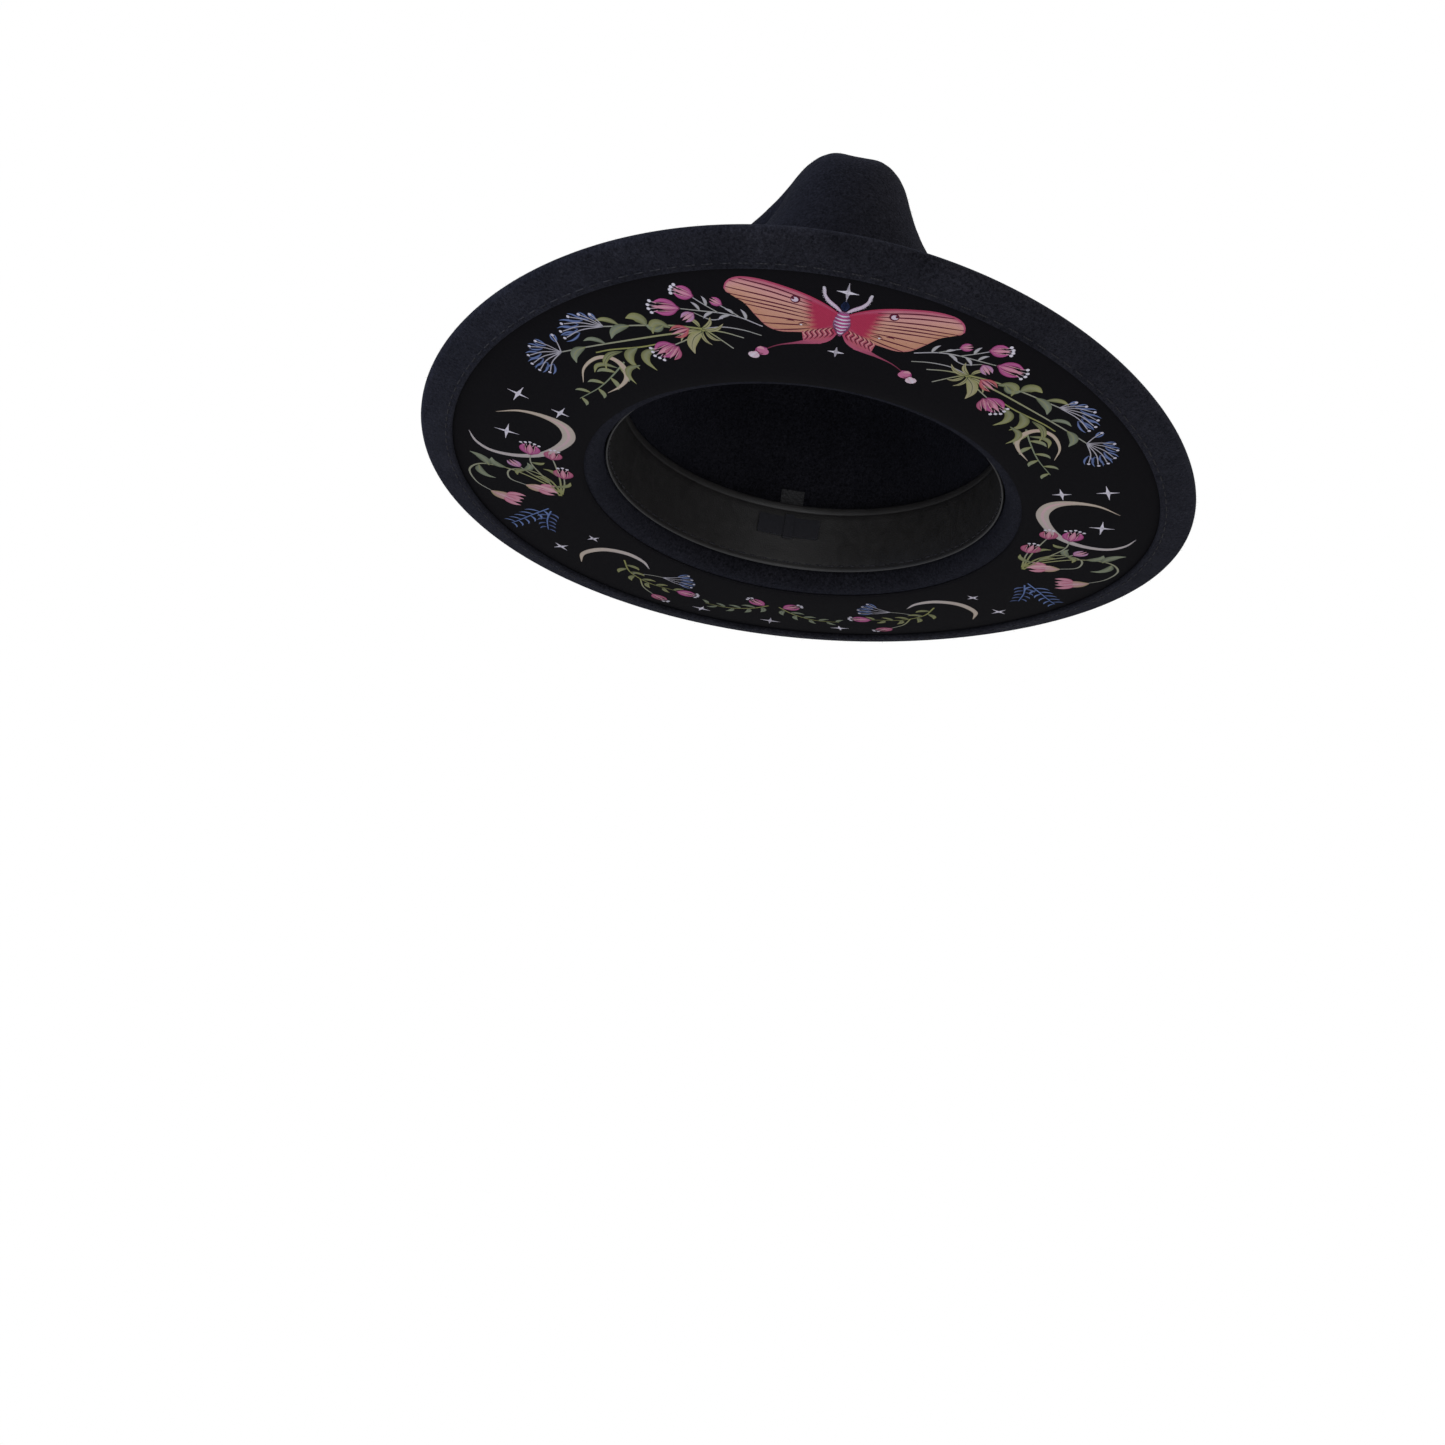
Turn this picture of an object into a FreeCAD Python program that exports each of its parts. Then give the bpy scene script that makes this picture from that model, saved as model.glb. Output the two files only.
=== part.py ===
import FreeCAD, Part
import math
import os
from FreeCAD import Placement, Vector

# A wide-brimmed felt hat. +Z is up through the crown, -Y is the front and +X is the wearer's left.
# The origin is under the middle of the hat, on the plane that it rests on. Millimetres.
# The felt is described by its inner face (against the head, and under the brim). A place on that
# face is a station, from 0 at the floor of the crown's dent to 4 at the brim's rim, and an angle
# in degrees about +Z, 0 at the front and 90 at the wearer's left.

SIZES = (
    ("head_half_length", 102.0, "half the length of the oval where crown meets brim"),
    ("head_half_width", 84.0, "half the width of that oval"),
    ("felt_thickness", 2.4, "pressed felt of crown and brim"),
    ("cloth_thickness", 0.5, "printed underbrim cloth"),
    ("glue_gap", 0.1, "bond line each side of the cloth"),
    ("break_radius", 7.0, "radius of the felt's inner face from brim to crown"),
    ("brim_reach", 82.0, "mean width of the brim, break included"),
    ("brim_swing", 5.0, "how much wider the brim is at front and back than its mean"),
    ("flat_ring", 14.0, "width of the level ring next to the crown"),
    ("rise_power", 1.3, "how late the brim's sweep comes on"),
    ("rise_mean", 8.0, "mean height that the brim sweeps up to at its rim"),
    ("rise_front", 6.0, "further rise at the front, fall at the back"),
    ("rise_ends", 4.5, "further rise at front and back, fall at the sides"),
    ("rise_dip", 1.5, "third wave of the rim"),
    ("rise_lean", -1.0, "rise towards the wearer's left"),
    ("rise_twist", -3.0, "twist of the rim, left front to right front"),
    ("curl_width", 34.0, "width of the curl along the rim"),
    ("curl_lift", 4.0, "height that the curl adds at the rim"),
    ("welt_width", 15.0, "width of the overwelt"),
    ("welt_thickness", 2.0, "felt of the overwelt, pressed down"),
    ("tuck", 6.0, "cloth held under the overwelt"),
    ("tuck_clearance", 0.3, "room beyond the tucked edge"),
    ("cloth_inset", 1.0, "from the break's edge to the cloth"),
    ("rest_margin", 0.5, "from the level face that the hat rests on to the level ring's edge"),
    ("crown_height", 105.5, "height of the crest at the sides"),
    ("crown_fall", 9.5, "how much the crest rises to the front and falls to the back"),
    ("crest_lean", 1.5, "how much the crest leans down to the wearer's left"),
    ("crest_dip", 3.2, "depth of the notch at the front of the crest"),
    ("crest_dip_spread", 16.0, "half angle of that notch"),
    ("crest_half_length", 78.7, "half the length of the crest"),
    ("crest_half_width", 33.7, "half the width of the crest at the back"),
    ("crest_shift", -4.6, "middle of the crest along Y"),
    ("crest_narrowing", 0.49, "share by which the crest narrows to the front"),
    ("crest_narrow_power", 1.3, "how late it narrows"),
    ("crest_square", 0.685, "bluntness of the crest's outline"),
    ("pinch_depth", 21.6, "depth of each front pinch"),
    ("pinch_angle", 50.0, "angle of each pinch from the front"),
    ("pinch_spread", 24.6, "half angle of a pinch"),
    ("pinch_start", 0.24, "share of the wall below the pinches"),
    ("pinch_power", 0.9, "how high up the pinch is deepest"),
    ("dent_floor", 88.0, "height of the floor of the centre dent"),
    ("dent_half_length", 40.0, "half the length of that floor"),
    ("dent_half_width", 6.0, "half the width of that floor"),
    ("stitch_radius", 0.35, "thread of the overwelt's stitches"),
    ("stitch_length", 4.2, "one running stitch of the overwelt"),
    ("stitch_pitch", 7.0, "from one stitch to the next"),
    ("stitch_inset", 2.5, "from the overwelt's inner edge to the stitches"),
    ("stitch_gap", 0.1, "air between thread and felt"),
    ("sweatband_thickness", 0.9, "leather of the sweatband"),
    ("sweatband_foot", 6.0, "height of the sweatband's lower edge"),
    ("sweatband_top", 36.0, "height of its upper edge"),
    ("sweatband_gap", 0.5, "felt to sweatband, at front and sides"),
    ("sweatband_back_gap", 5.0, "felt to sweatband at the back, where the sizing tape is"),
    ("seam_stitch_radius", 0.3, "thread of the sweatband's seam"),
    ("seam_stitch_length", 3.0, "one stitch of that seam"),
    ("seam_stitch_pitch", 5.0, "from one of its stitches to the next"),
    ("seam_height", 2.5, "from the sweatband's lower edge to its seam"),
    ("tape_gap", 1.8, "from the oval to the loop tape, at the back"),
    ("tape_thickness", 0.9, "loop tape and hook tab, each"),
    ("tape_clearance", 0.3, "between loop tape and hook tab"),
    ("loop_foot", 9.0, "height of the loop tape's lower edge"),
    ("loop_height", 20.0, "width of the loop tape"),
    ("loop_angle", 72.0, "angle that the loop tape spans"),
    ("hook_foot", 11.0, "height of the hook tab's lower edge"),
    ("hook_height", 16.0, "width of the hook tab"),
    ("hook_angle", 26.0, "angle that the hook tab spans"),
    ("pull_height", 17.0, "height of the pull above the hook tab"),
    ("pull_angle", 9.0, "angle that the pull spans"),
    ("bow_gap", 1.4, "sweatband to its bow, at mid height"),
    ("bow_thickness", 1.2, "sweatband bow's loops"),
    ("bow_foot", 20.0, "height of that bow's lower edge"),
    ("bow_height", 9.0, "its height"),
    ("bow_angle", 26.0, "angle that it spans"),
    ("bow_knot_angle", 4.0, "angle of its middle wrap"),
    ("bow_knot_thickness", 2.2, "its middle wrap"),
    ("bow_knot_inset", 1.0, "how much lower the wrap is than the loops"),
    ("hatband_thickness", 0.9, "grosgrain ribbon round the crown"),
    ("hatband_gap", 0.3, "felt to ribbon"),
    ("hatband_foot", 9.0, "height of the ribbon's lower edge"),
    ("hatband_width", 32.0, "width of the ribbon"),
    ("ribbon_bow_thickness", 2.6, "folded ribbon of the outer bow"),
    ("ribbon_bow_gap", 0.3, "hatband to outer bow"),
    ("ribbon_bow_inset", 1.5, "how much narrower the bow is than the hatband, each edge"),
    ("ribbon_bow_angle", 15.0, "half the angle that the bow spans"),
    ("ribbon_knot_angle", 4.0, "half the angle of its wrap"),
    ("ribbon_knot_thickness", 1.6, "its wrap"),
    ("ribbon_side", 90.0, "angle of the bow, the wearer's left"),
    ("tack_radius", 0.3, "thread of the hatband's tacks"),
    ("tack_length", 2.4, "one tack"),
    ("tack_inset", 1.2, "from the hatband's edge to a tack"),
    ("tack_count", 8.0, "tacks along each edge"),
)

RIM_COLUMNS = 72
STEP = 1e-4
UP = Vector(0, 0, 1)
BRIM_ROW = 3.0
WALL_ROW = 6.0
BOW_COLUMN = 2.0

doc = FreeCAD.newDocument("felt_hat")
sheet = doc.addObject("Spreadsheet::Sheet", "Sizes")
for row, (alias, value, note) in enumerate(SIZES, start=1):
    sheet.set("A%d" % row, note)
    sheet.set("B%d" % row, repr(value))
    sheet.setAlias("B%d" % row, alias)
doc.recompute()


def size(alias):
    return float(sheet.get(alias))


V = {alias: size(alias) for alias, _, _ in SIZES}

CLOTH_STACK = V["cloth_thickness"] + V["glue_gap"]
SLOT = V["cloth_thickness"] + 2 * V["glue_gap"]
WALL_FOOT = CLOTH_STACK + V["break_radius"]
NOSE_RADIUS = (V["felt_thickness"] + SLOT + V["welt_thickness"]) / 2
WELT_EDGE = V["brim_reach"] - V["welt_width"]
CLOTH_EDGE = WELT_EDGE + V["tuck"]
SLOT_END = CLOTH_EDGE + V["tuck_clearance"]


# ---- the felt's inner face ----------------------------------------------------------------

def mix(first, second, share):
    return first + (second - first) * share


def clip(value, low=0.0, high=1.0):
    return min(max(value, low), high)


def side_sign(turn):
    return math.copysign(1.0, math.sin(turn))


def crest_height(turn):
    off_front = math.degrees(math.atan2(math.sin(turn), math.cos(turn)))
    notch = V["crest_dip"] * math.exp(-(off_front / V["crest_dip_spread"]) ** 2)
    level = V["crown_height"] + V["crown_fall"] * math.cos(turn)
    return level - V["crest_lean"] * math.sin(turn) - notch


def crest_point(turn):
    to_front = ((1 + math.cos(turn)) / 2) ** V["crest_narrow_power"]
    half_width = V["crest_half_width"] * (1 - V["crest_narrowing"] * to_front)
    x = half_width * side_sign(turn) * abs(math.sin(turn)) ** V["crest_square"]
    y = V["crest_shift"] - V["crest_half_length"] * math.cos(turn)
    return Vector(x, y, crest_height(turn))


def oval_point(turn, out=0.0, height=0.0):
    x = (V["head_half_width"] + out) * math.sin(turn)
    y = -(V["head_half_length"] + out) * math.cos(turn)
    return Vector(x, y, height)


def dent_point(share, turn):
    """From the floor of the dent (0) up to the crest (1)."""
    floor_x = V["dent_half_width"] * math.sin(turn)
    floor_y = -V["dent_half_length"] * math.cos(turn)
    crest = crest_point(turn)
    down = 1 - share
    drop = down * down * (3 - 2 * down)
    x = mix(floor_x, crest.x, share)
    y = mix(floor_y, crest.y, share)
    return Vector(x, y, mix(crest.z, V["dent_floor"], drop))


def wall_point(climb, turn):
    """Up the crown's wall, from its foot (0) to the crest (1), with the two front pinches."""
    lean = climb * math.pi / 2
    crest = crest_point(turn)
    foot = oval_point(turn)
    x = mix(crest.x, foot.x, math.cos(lean))
    y = mix(crest.y, foot.y, math.cos(lean))
    z = mix(WALL_FOOT, crest.z, math.sin(lean))
    off_front = math.degrees(math.atan2(abs(math.sin(turn)), math.cos(turn)))
    across = math.exp(-((off_front - V["pinch_angle"]) / V["pinch_spread"]) ** 2)
    up = clip((climb - V["pinch_start"]) / (1 - V["pinch_start"])) ** V["pinch_power"]
    depth = V["pinch_depth"] * across * math.sin(math.pi * up) ** 2
    heading = math.radians(V["pinch_angle"])
    x -= depth * math.sin(turn) / math.tan(heading)
    y += depth * math.sin(heading)
    return Vector(x, y, z)


def break_point(share, turn):
    """Round the break, from the wall's foot (0) out to the brim (1)."""
    lean = share * math.pi / 2
    out = V["break_radius"] * (1 - math.cos(lean))
    return brim_place(out, turn, WALL_FOOT - V["break_radius"] * math.sin(lean))


def brim_place(out, turn, height):
    stretch = 1 + V["brim_swing"] * math.cos(2 * turn) / V["brim_reach"]
    return oval_point(turn, out * stretch, height)


def rim_rise(turn):
    rise = V["rise_mean"] + V["rise_front"] * math.cos(turn) + V["rise_ends"] * math.cos(2 * turn)
    rise += V["rise_dip"] * math.cos(3 * turn)
    return rise + V["rise_lean"] * math.sin(turn) + V["rise_twist"] * math.sin(2 * turn)


def brim_point(out, turn):
    sweep = clip((out - V["flat_ring"]) / (V["brim_reach"] - V["flat_ring"])) ** V["rise_power"]
    curl = clip(1 + (out - V["brim_reach"]) / V["curl_width"]) ** 2
    height = CLOTH_STACK + rim_rise(turn) * sweep + V["curl_lift"] * curl
    return brim_place(out, turn, height)


def brim_station(out):
    return 3 + (out - V["break_radius"]) / (V["brim_reach"] - V["break_radius"])


def face_point(station, turn):
    """The felt's inner face: dent 0 to 1, wall 1 to 2, break 2 to 3, brim 3 to 4."""
    if station <= 1:
        return dent_point(max(station, 0), turn)
    if station <= 2:
        return wall_point(2 - station, turn)
    if station <= 3:
        return break_point(station - 2, turn)
    return brim_point(mix(V["break_radius"], V["brim_reach"], station - 3), turn)


def face_frame(station, angle):
    """Point, unit vector towards the rim and unit normal out of the hat."""
    turn = math.radians(angle)
    point = face_point(station, turn)
    along = face_point(station + STEP, turn) - face_point(station - STEP, turn)
    around = face_point(station, turn + STEP) - face_point(station, turn - STEP)
    normal = along.cross(around).normalize()
    if station == 0:
        normal = UP
    rimward = around.cross(normal).normalize()
    return point, rimward, normal


def felt_point(station, angle, offset):
    point, rimward, normal = face_frame(station, angle)
    return point + normal * offset


# ---- surfaces and solids ------------------------------------------------------------------

def closed_poles(points):
    """Poles of the closed cubic curve through these points."""
    poles = list(points)
    count = len(points)
    for _ in range(12):
        reached = [(poles[i - 1] + poles[i] * 4 + poles[(i + 1) % count]) / 6 for i in range(count)]
        poles = [pole + (point - near) for pole, point, near in zip(poles, points, reached)]
    return poles


def ring_angles():
    return [360.0 * column / RIM_COLUMNS for column in range(RIM_COLUMNS)]


def felt_ring(station, offset):
    return closed_poles([felt_point(station, angle, offset) for angle in ring_angles()])


def clamped_knots(rows):
    degree = min(3, rows - 1)
    spans = rows - degree
    multiplicities = [degree + 1] + [1] * (spans - 1) + [degree + 1]
    return degree, multiplicities, [float(knot) for knot in range(spans + 1)]


def ring_face(rings):
    """A face through closed rings of poles."""
    degree, multiplicities, knots = clamped_knots(len(rings))
    around = len(rings[0])
    surface = Part.BSplineSurface()
    surface.buildFromPolesMultsKnots(
        rings, multiplicities, [1] * (around + 1), knots, [float(knot) for knot in range(around + 1)],
        False, True, degree, 3)
    return surface.toShape()


def ring_wire(poles):
    around = len(poles)
    curve = Part.BSplineCurve()
    curve.buildFromPolesMultsKnots(
        poles, [1] * (around + 1), [float(knot) for knot in range(around + 1)], True, 3)
    return Part.Wire(curve.toShape())


def sheet_face(rows):
    """A face through open rows of poles."""
    degree_u, multiplicities_u, knots_u = clamped_knots(len(rows))
    degree_v, multiplicities_v, knots_v = clamped_knots(len(rows[0]))
    surface = Part.BSplineSurface()
    surface.buildFromPolesMultsKnots(
        rows, multiplicities_u, multiplicities_v, knots_u, knots_v, False, False, degree_u, degree_v)
    return surface.toShape()


def closed_solid(faces):
    shell = Part.Shell(faces)
    shell.sewShape()
    solid = Part.Solid(Part.Shell(shell.Faces))
    if solid.Volume < 0:
        solid.reverse()
    return solid


def stations_between(first, last, spacing):
    steps = max(1, math.ceil(abs(last - first) / spacing))
    return [mix(first, last, step / steps) for step in range(steps + 1)]


def felt_stations(last):
    """Stations from the dent's floor to `last`, close together where the felt bends."""
    stations = stations_between(0, 1, 0.1)
    stations += stations_between(1, 2, 0.05)[1:]
    stations += stations_between(2, 3, 0.2)[1:]
    return stations + stations_between(3, last, 0.05)[1:]


def patch_solid(point_at, rows, columns, inner, outer):
    """A solid between two offsets of a surface, over a grid of rows and columns."""
    lower = [[point_at(row, column, inner) for column in columns] for row in rows]
    upper = [[point_at(row, column, outer) for column in columns] for row in rows]
    faces = [sheet_face(lower), sheet_face(upper)]
    faces += [sheet_face([lower[0], upper[0]]), sheet_face([lower[-1], upper[-1]])]
    for side in (0, -1):
        faces.append(sheet_face([[row[side] for row in lower], [row[side] for row in upper]]))
    return closed_solid(faces)


def ring_solid(lower, upper):
    """A solid between two stacks of closed rings, open through the middle."""
    edges = [[lower[0], upper[0]], [lower[-1], upper[-1]]]
    return closed_solid([ring_face(lower), ring_face(upper)] + [ring_face(edge) for edge in edges])


def thread(start, end, radius):
    return Part.makeCylinder(radius, start.distanceToPoint(end), start, end - start)


def stitch_row(path_point, length, pitch, radius):
    """Separate stitches along a closed path given by angle."""
    turns = [path_point(angle) for angle in range(0, 361)]
    travelled = [0.0]
    for first, second in zip(turns, turns[1:]):
        travelled.append(travelled[-1] + first.distanceToPoint(second))
    count = round(travelled[-1] / pitch)
    stitches = []
    for index in range(count):
        ends = []
        for reach in (index * travelled[-1] / count, index * travelled[-1] / count + length):
            degree = max(i for i in range(360) if travelled[i] <= reach)
            past = (reach - travelled[degree]) / (travelled[degree + 1] - travelled[degree])
            ends.append(path_point(degree + past))
        stitches.append(thread(ends[0], ends[1], radius))
    return Part.makeCompound(stitches)


def add_shape(name, shape):
    feature = doc.addObject("Part::Feature", name)
    feature.Label = name
    feature.Shape = shape
    feature.Placement = Placement()
    return feature


# ---- the felt body: crown, brim and overwelt in one piece ---------------------------------

def nose_ring(turn_share):
    """Round the rim, from the overwelt's lower face (0) over to the brim's upper face (1)."""
    middle = V["felt_thickness"] - NOSE_RADIUS
    lean = math.pi * turn_share
    points = []
    for angle in ring_angles():
        point, rimward, normal = face_frame(brim_station(V["brim_reach"] - NOSE_RADIUS), angle)
        out = rimward * (NOSE_RADIUS * math.sin(lean))
        points.append(point + normal * (middle - NOSE_RADIUS * math.cos(lean)) + out)
    return closed_poles(points)


def felt_body():
    under_welt = -SLOT - V["welt_thickness"]
    nose_out = V["brim_reach"] - NOSE_RADIUS
    inner = [felt_ring(station, 0) for station in felt_stations(brim_station(SLOT_END))]
    slot_outs = stations_between(SLOT_END, WELT_EDGE, BRIM_ROW)
    slot = [felt_ring(brim_station(out), -SLOT) for out in slot_outs]
    welt_outs = stations_between(WELT_EDGE, nose_out, BRIM_ROW)
    welt = [felt_ring(brim_station(out), under_welt) for out in welt_outs]
    nose = [nose_ring(share) for share in stations_between(0, 1, 0.125)]
    welt[-1] = nose[0]
    top = [felt_ring(station, V["felt_thickness"]) for station in felt_stations(brim_station(nose_out))]
    top[-1] = nose[-1]
    faces = [ring_face(rings) for rings in (inner, [inner[-1], slot[0]], slot)]
    faces += [ring_face(rings) for rings in ([slot[-1], welt[0]], welt, nose, top)]
    faces += [Part.Face(ring_wire(inner[0])), Part.Face(ring_wire(top[0]))]
    return closed_solid(faces)


# ---- the printed cloth under the brim -----------------------------------------------------

def underbrim_cloth():
    start = V["break_radius"] + V["cloth_inset"]
    outer_outs = stations_between(V["flat_ring"] - V["rest_margin"], CLOTH_EDGE, BRIM_ROW)
    upper = [felt_ring(brim_station(out), -V["glue_gap"]) for out in [start] + outer_outs]
    lower = [felt_ring(brim_station(out), -CLOTH_STACK) for out in outer_outs]
    level = felt_ring(brim_station(start), -CLOTH_STACK)
    rest = Part.makeFace([ring_wire(lower[0]), ring_wire(level)], "Part::FaceMakerBullseye")
    faces = [ring_face(upper), ring_face(lower), rest]
    faces += [ring_face([lower[-1], upper[-1]]), ring_face([level, upper[0]])]
    return closed_solid(faces)


def welt_stitches():
    under = -SLOT - V["welt_thickness"] - V["stitch_gap"] - V["stitch_radius"]
    station = brim_station(WELT_EDGE + V["stitch_inset"])
    return stitch_row(
        lambda angle: felt_point(station, angle, under),
        V["stitch_length"], V["stitch_pitch"], V["stitch_radius"])


add_shape("felt_body", felt_body())
add_shape("underbrim_cloth", underbrim_cloth())
add_shape("welt_stitches", welt_stitches())


# ---- pieces that follow the foot of the crown ---------------------------------------------

def wall_station(height, angle):
    """The station on the wall at this height of the inner face."""
    climb = (height - WALL_FOOT) / (crest_height(math.radians(angle)) - WALL_FOOT)
    return 2 - math.asin(clip(climb)) * 2 / math.pi if climb > 0 else 2


def level_point(height, angle, offset):
    """A point beside the wall at this height, `offset` out from the felt's inner face."""
    point = felt_point(wall_station(height, angle), angle, offset)
    return Vector(point.x, point.y, height)


def level_ring(height, offset_at):
    points = [level_point(height, angle, offset_at(angle)) for angle in ring_angles()]
    return closed_poles(points)


def band(foot, top, inner_at, outer_at):
    heights = stations_between(foot, top, WALL_ROW)
    inner = [level_ring(height, inner_at) for height in heights]
    outer = [level_ring(height, outer_at) for height in heights]
    return ring_solid(inner, outer)


def sweatband_offset(angle, depth):
    """Offset of the sweatband's outer face, and `depth` further into the hat."""
    to_back = ((1 - math.cos(math.radians(angle))) / 2) ** 4
    return -mix(V["sweatband_gap"], V["sweatband_back_gap"], to_back) - depth


def sweatband_stitches():
    depth = V["sweatband_thickness"] + V["stitch_gap"] + V["seam_stitch_radius"]
    height = V["sweatband_foot"] + V["seam_height"]
    return stitch_row(
        lambda angle: level_point(height, angle, sweatband_offset(angle, depth)),
        V["seam_stitch_length"], V["seam_stitch_pitch"], V["seam_stitch_radius"])


HATBAND_INNER = V["felt_thickness"] + V["hatband_gap"]
HATBAND_OUTER = HATBAND_INNER + V["hatband_thickness"]
HATBAND_TOP = V["hatband_foot"] + V["hatband_width"]


def ribbon_piece(first_angle, last_angle, inner, outer):
    low = V["hatband_foot"] + V["ribbon_bow_inset"]
    rows = stations_between(low, HATBAND_TOP - V["ribbon_bow_inset"], WALL_ROW)
    columns = stations_between(first_angle, last_angle, BOW_COLUMN)
    return patch_solid(level_point, rows, columns, inner, outer)


def hatband_bow_loops():
    inner = HATBAND_OUTER + V["ribbon_bow_gap"]
    middle = V["ribbon_side"]
    loops = []
    for side in (-1, 1):
        near = middle + side * V["ribbon_knot_angle"] / 2
        far = middle + side * V["ribbon_bow_angle"]
        first, last = min(near, far), max(near, far)
        loops.append(ribbon_piece(first, last, inner, inner + V["ribbon_bow_thickness"]))
    return Part.makeCompound(loops)


def hatband_bow_knot():
    inner = HATBAND_OUTER + V["ribbon_bow_gap"] + V["ribbon_bow_thickness"] + V["ribbon_bow_gap"]
    first = V["ribbon_side"] - V["ribbon_knot_angle"]
    last = V["ribbon_side"] + V["ribbon_knot_angle"]
    return ribbon_piece(first, last, inner, inner + V["ribbon_knot_thickness"])


def hatband_tacks():
    out = HATBAND_OUTER + V["stitch_gap"] + V["tack_radius"]
    count = int(V["tack_count"])
    tacks = []
    for index in range(count):
        angle = V["ribbon_side"] + 360.0 * (index + 0.5) / count
        for height in (HATBAND_TOP - V["tack_inset"], V["hatband_foot"] + V["tack_inset"]):
            low = level_point(height - V["tack_length"] / 2, angle, out)
            high = level_point(height + V["tack_length"] / 2, angle, out)
            tacks.append(thread(low, high, V["tack_radius"]))
    return Part.makeCompound(tacks)


add_shape("sweatband", band(
    V["sweatband_foot"], V["sweatband_top"],
    lambda angle: sweatband_offset(angle, V["sweatband_thickness"]),
    lambda angle: sweatband_offset(angle, 0)))
add_shape("sweatband_stitches", sweatband_stitches())
add_shape("hatband", band(
    V["hatband_foot"], HATBAND_TOP,
    lambda angle: HATBAND_INNER,
    lambda angle: HATBAND_OUTER))
add_shape("hatband_bow_loops", hatband_bow_loops())
add_shape("hatband_bow_knot", hatband_bow_knot())
add_shape("hatband_tacks", hatband_tacks())


# ---- curved tapes at the back, on one centre of curvature ---------------------------------

BACK_CENTRE = "(Sizes.head_half_length - Sizes.head_half_width ^ 2 / Sizes.head_half_length)"
TAPE_OUTER = "(Sizes.head_half_length - Sizes.tape_gap - %s)" % BACK_CENTRE
HOOK_OUTER = "(%s - Sizes.tape_thickness - Sizes.tape_clearance)" % TAPE_OUTER
BOW_DEPTH = "(Sizes.sweatband_back_gap + Sizes.sweatband_thickness + Sizes.bow_gap)"
BOW_OUTER = "(Sizes.head_half_length - %s - %s)" % (BOW_DEPTH, BACK_CENTRE)


def sector(name, radius, angle, foot, height):
    """A slice of a cylinder about the back's centre of curvature, its middle at the back."""
    slice_ = doc.addObject("Part::Cylinder", name)
    slice_.setExpression("Radius", radius)
    slice_.setExpression("Angle", angle)
    slice_.setExpression("Height", height)
    slice_.setExpression("Placement.Base.y", BACK_CENTRE)
    slice_.setExpression("Placement.Base.z", foot)
    slice_.setExpression("Placement.Rotation.Angle", "90 - (%s) / 2" % angle)
    return slice_


def core(name, radius):
    """The round space that a curved tape is hollowed by."""
    tool = doc.addObject("Part::Cylinder", name)
    tool.setExpression("Radius", radius)
    tool.setExpression("Height", "Sizes.crown_height")
    tool.setExpression("Placement.Base.y", BACK_CENTRE)
    return tool


def hollow(name, solid, inner_radius):
    piece = doc.addObject("Part::Cut", name)
    piece.Label = name
    piece.Base = solid
    piece.Tool = core(name + "_core", inner_radius)
    return piece


def joined(name, first, second):
    union = doc.addObject("Part::Fuse", name)
    union.Base = first
    union.Tool = second
    return union


loop_blank = sector(
    "loop_blank", TAPE_OUTER, "Sizes.loop_angle", "Sizes.loop_foot", "Sizes.loop_height")
hollow("sizing_loop_tape", loop_blank, TAPE_OUTER + " - Sizes.tape_thickness")

hook_blank = sector(
    "hook_blank", HOOK_OUTER, "Sizes.hook_angle", "Sizes.hook_foot", "Sizes.hook_height")
pull_blank = sector(
    "pull_blank", HOOK_OUTER, "Sizes.pull_angle", "Sizes.hook_foot",
    "Sizes.hook_height + Sizes.pull_height")
hollow(
    "sizing_hook_tab", joined("hook_outline", hook_blank, pull_blank),
    HOOK_OUTER + " - Sizes.tape_thickness")

bow_blank = sector("bow_blank", BOW_OUTER, "Sizes.bow_angle", "Sizes.bow_foot", "Sizes.bow_height")
bow_loops = hollow("bow_loops", bow_blank, BOW_OUTER + " - Sizes.bow_thickness")
wrap_blank = sector(
    "wrap_blank", BOW_OUTER, "Sizes.bow_knot_angle", "Sizes.bow_foot - Sizes.bow_knot_inset",
    "Sizes.bow_height + 2 * Sizes.bow_knot_inset")
bow_wrap = hollow("bow_wrap", wrap_blank, BOW_OUTER + " - Sizes.bow_knot_thickness")
joined("sweatband_bow", bow_loops, bow_wrap)

NODES = (
    "felt_body", "underbrim_cloth", "welt_stitches", "sweatband", "sweatband_stitches",
    "sweatband_bow", "sizing_loop_tape", "sizing_hook_tab", "hatband", "hatband_bow_loops",
    "hatband_bow_knot", "hatband_tacks")

doc.recompute()
for item in doc.Objects:
    if "Invalid" in item.State or "Error" in item.State:
        raise RuntimeError("%s was not built: %s" % (item.Name, item.State))

os.makedirs("parts", exist_ok=True)
for name in NODES:
    shape = doc.getObject(name).Shape
    if shape.isNull() or not shape.isValid():
        raise RuntimeError("%s has no valid shape" % name)
    box = shape.BoundBox
    print("%-20s %3d solids %10.1f mm3  x %.1f..%.1f  y %.1f..%.1f  z %.2f..%.2f" % (
        name, len(shape.Solids), shape.Volume,
        box.XMin, box.XMax, box.YMin, box.YMax, box.ZMin, box.ZMax))
for name in NODES:
    doc.getObject(name).Shape.exportStep("parts/%s.step" % name)
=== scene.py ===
import math

import bpy
import numpy as np
from mathutils import Matrix, Vector


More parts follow.
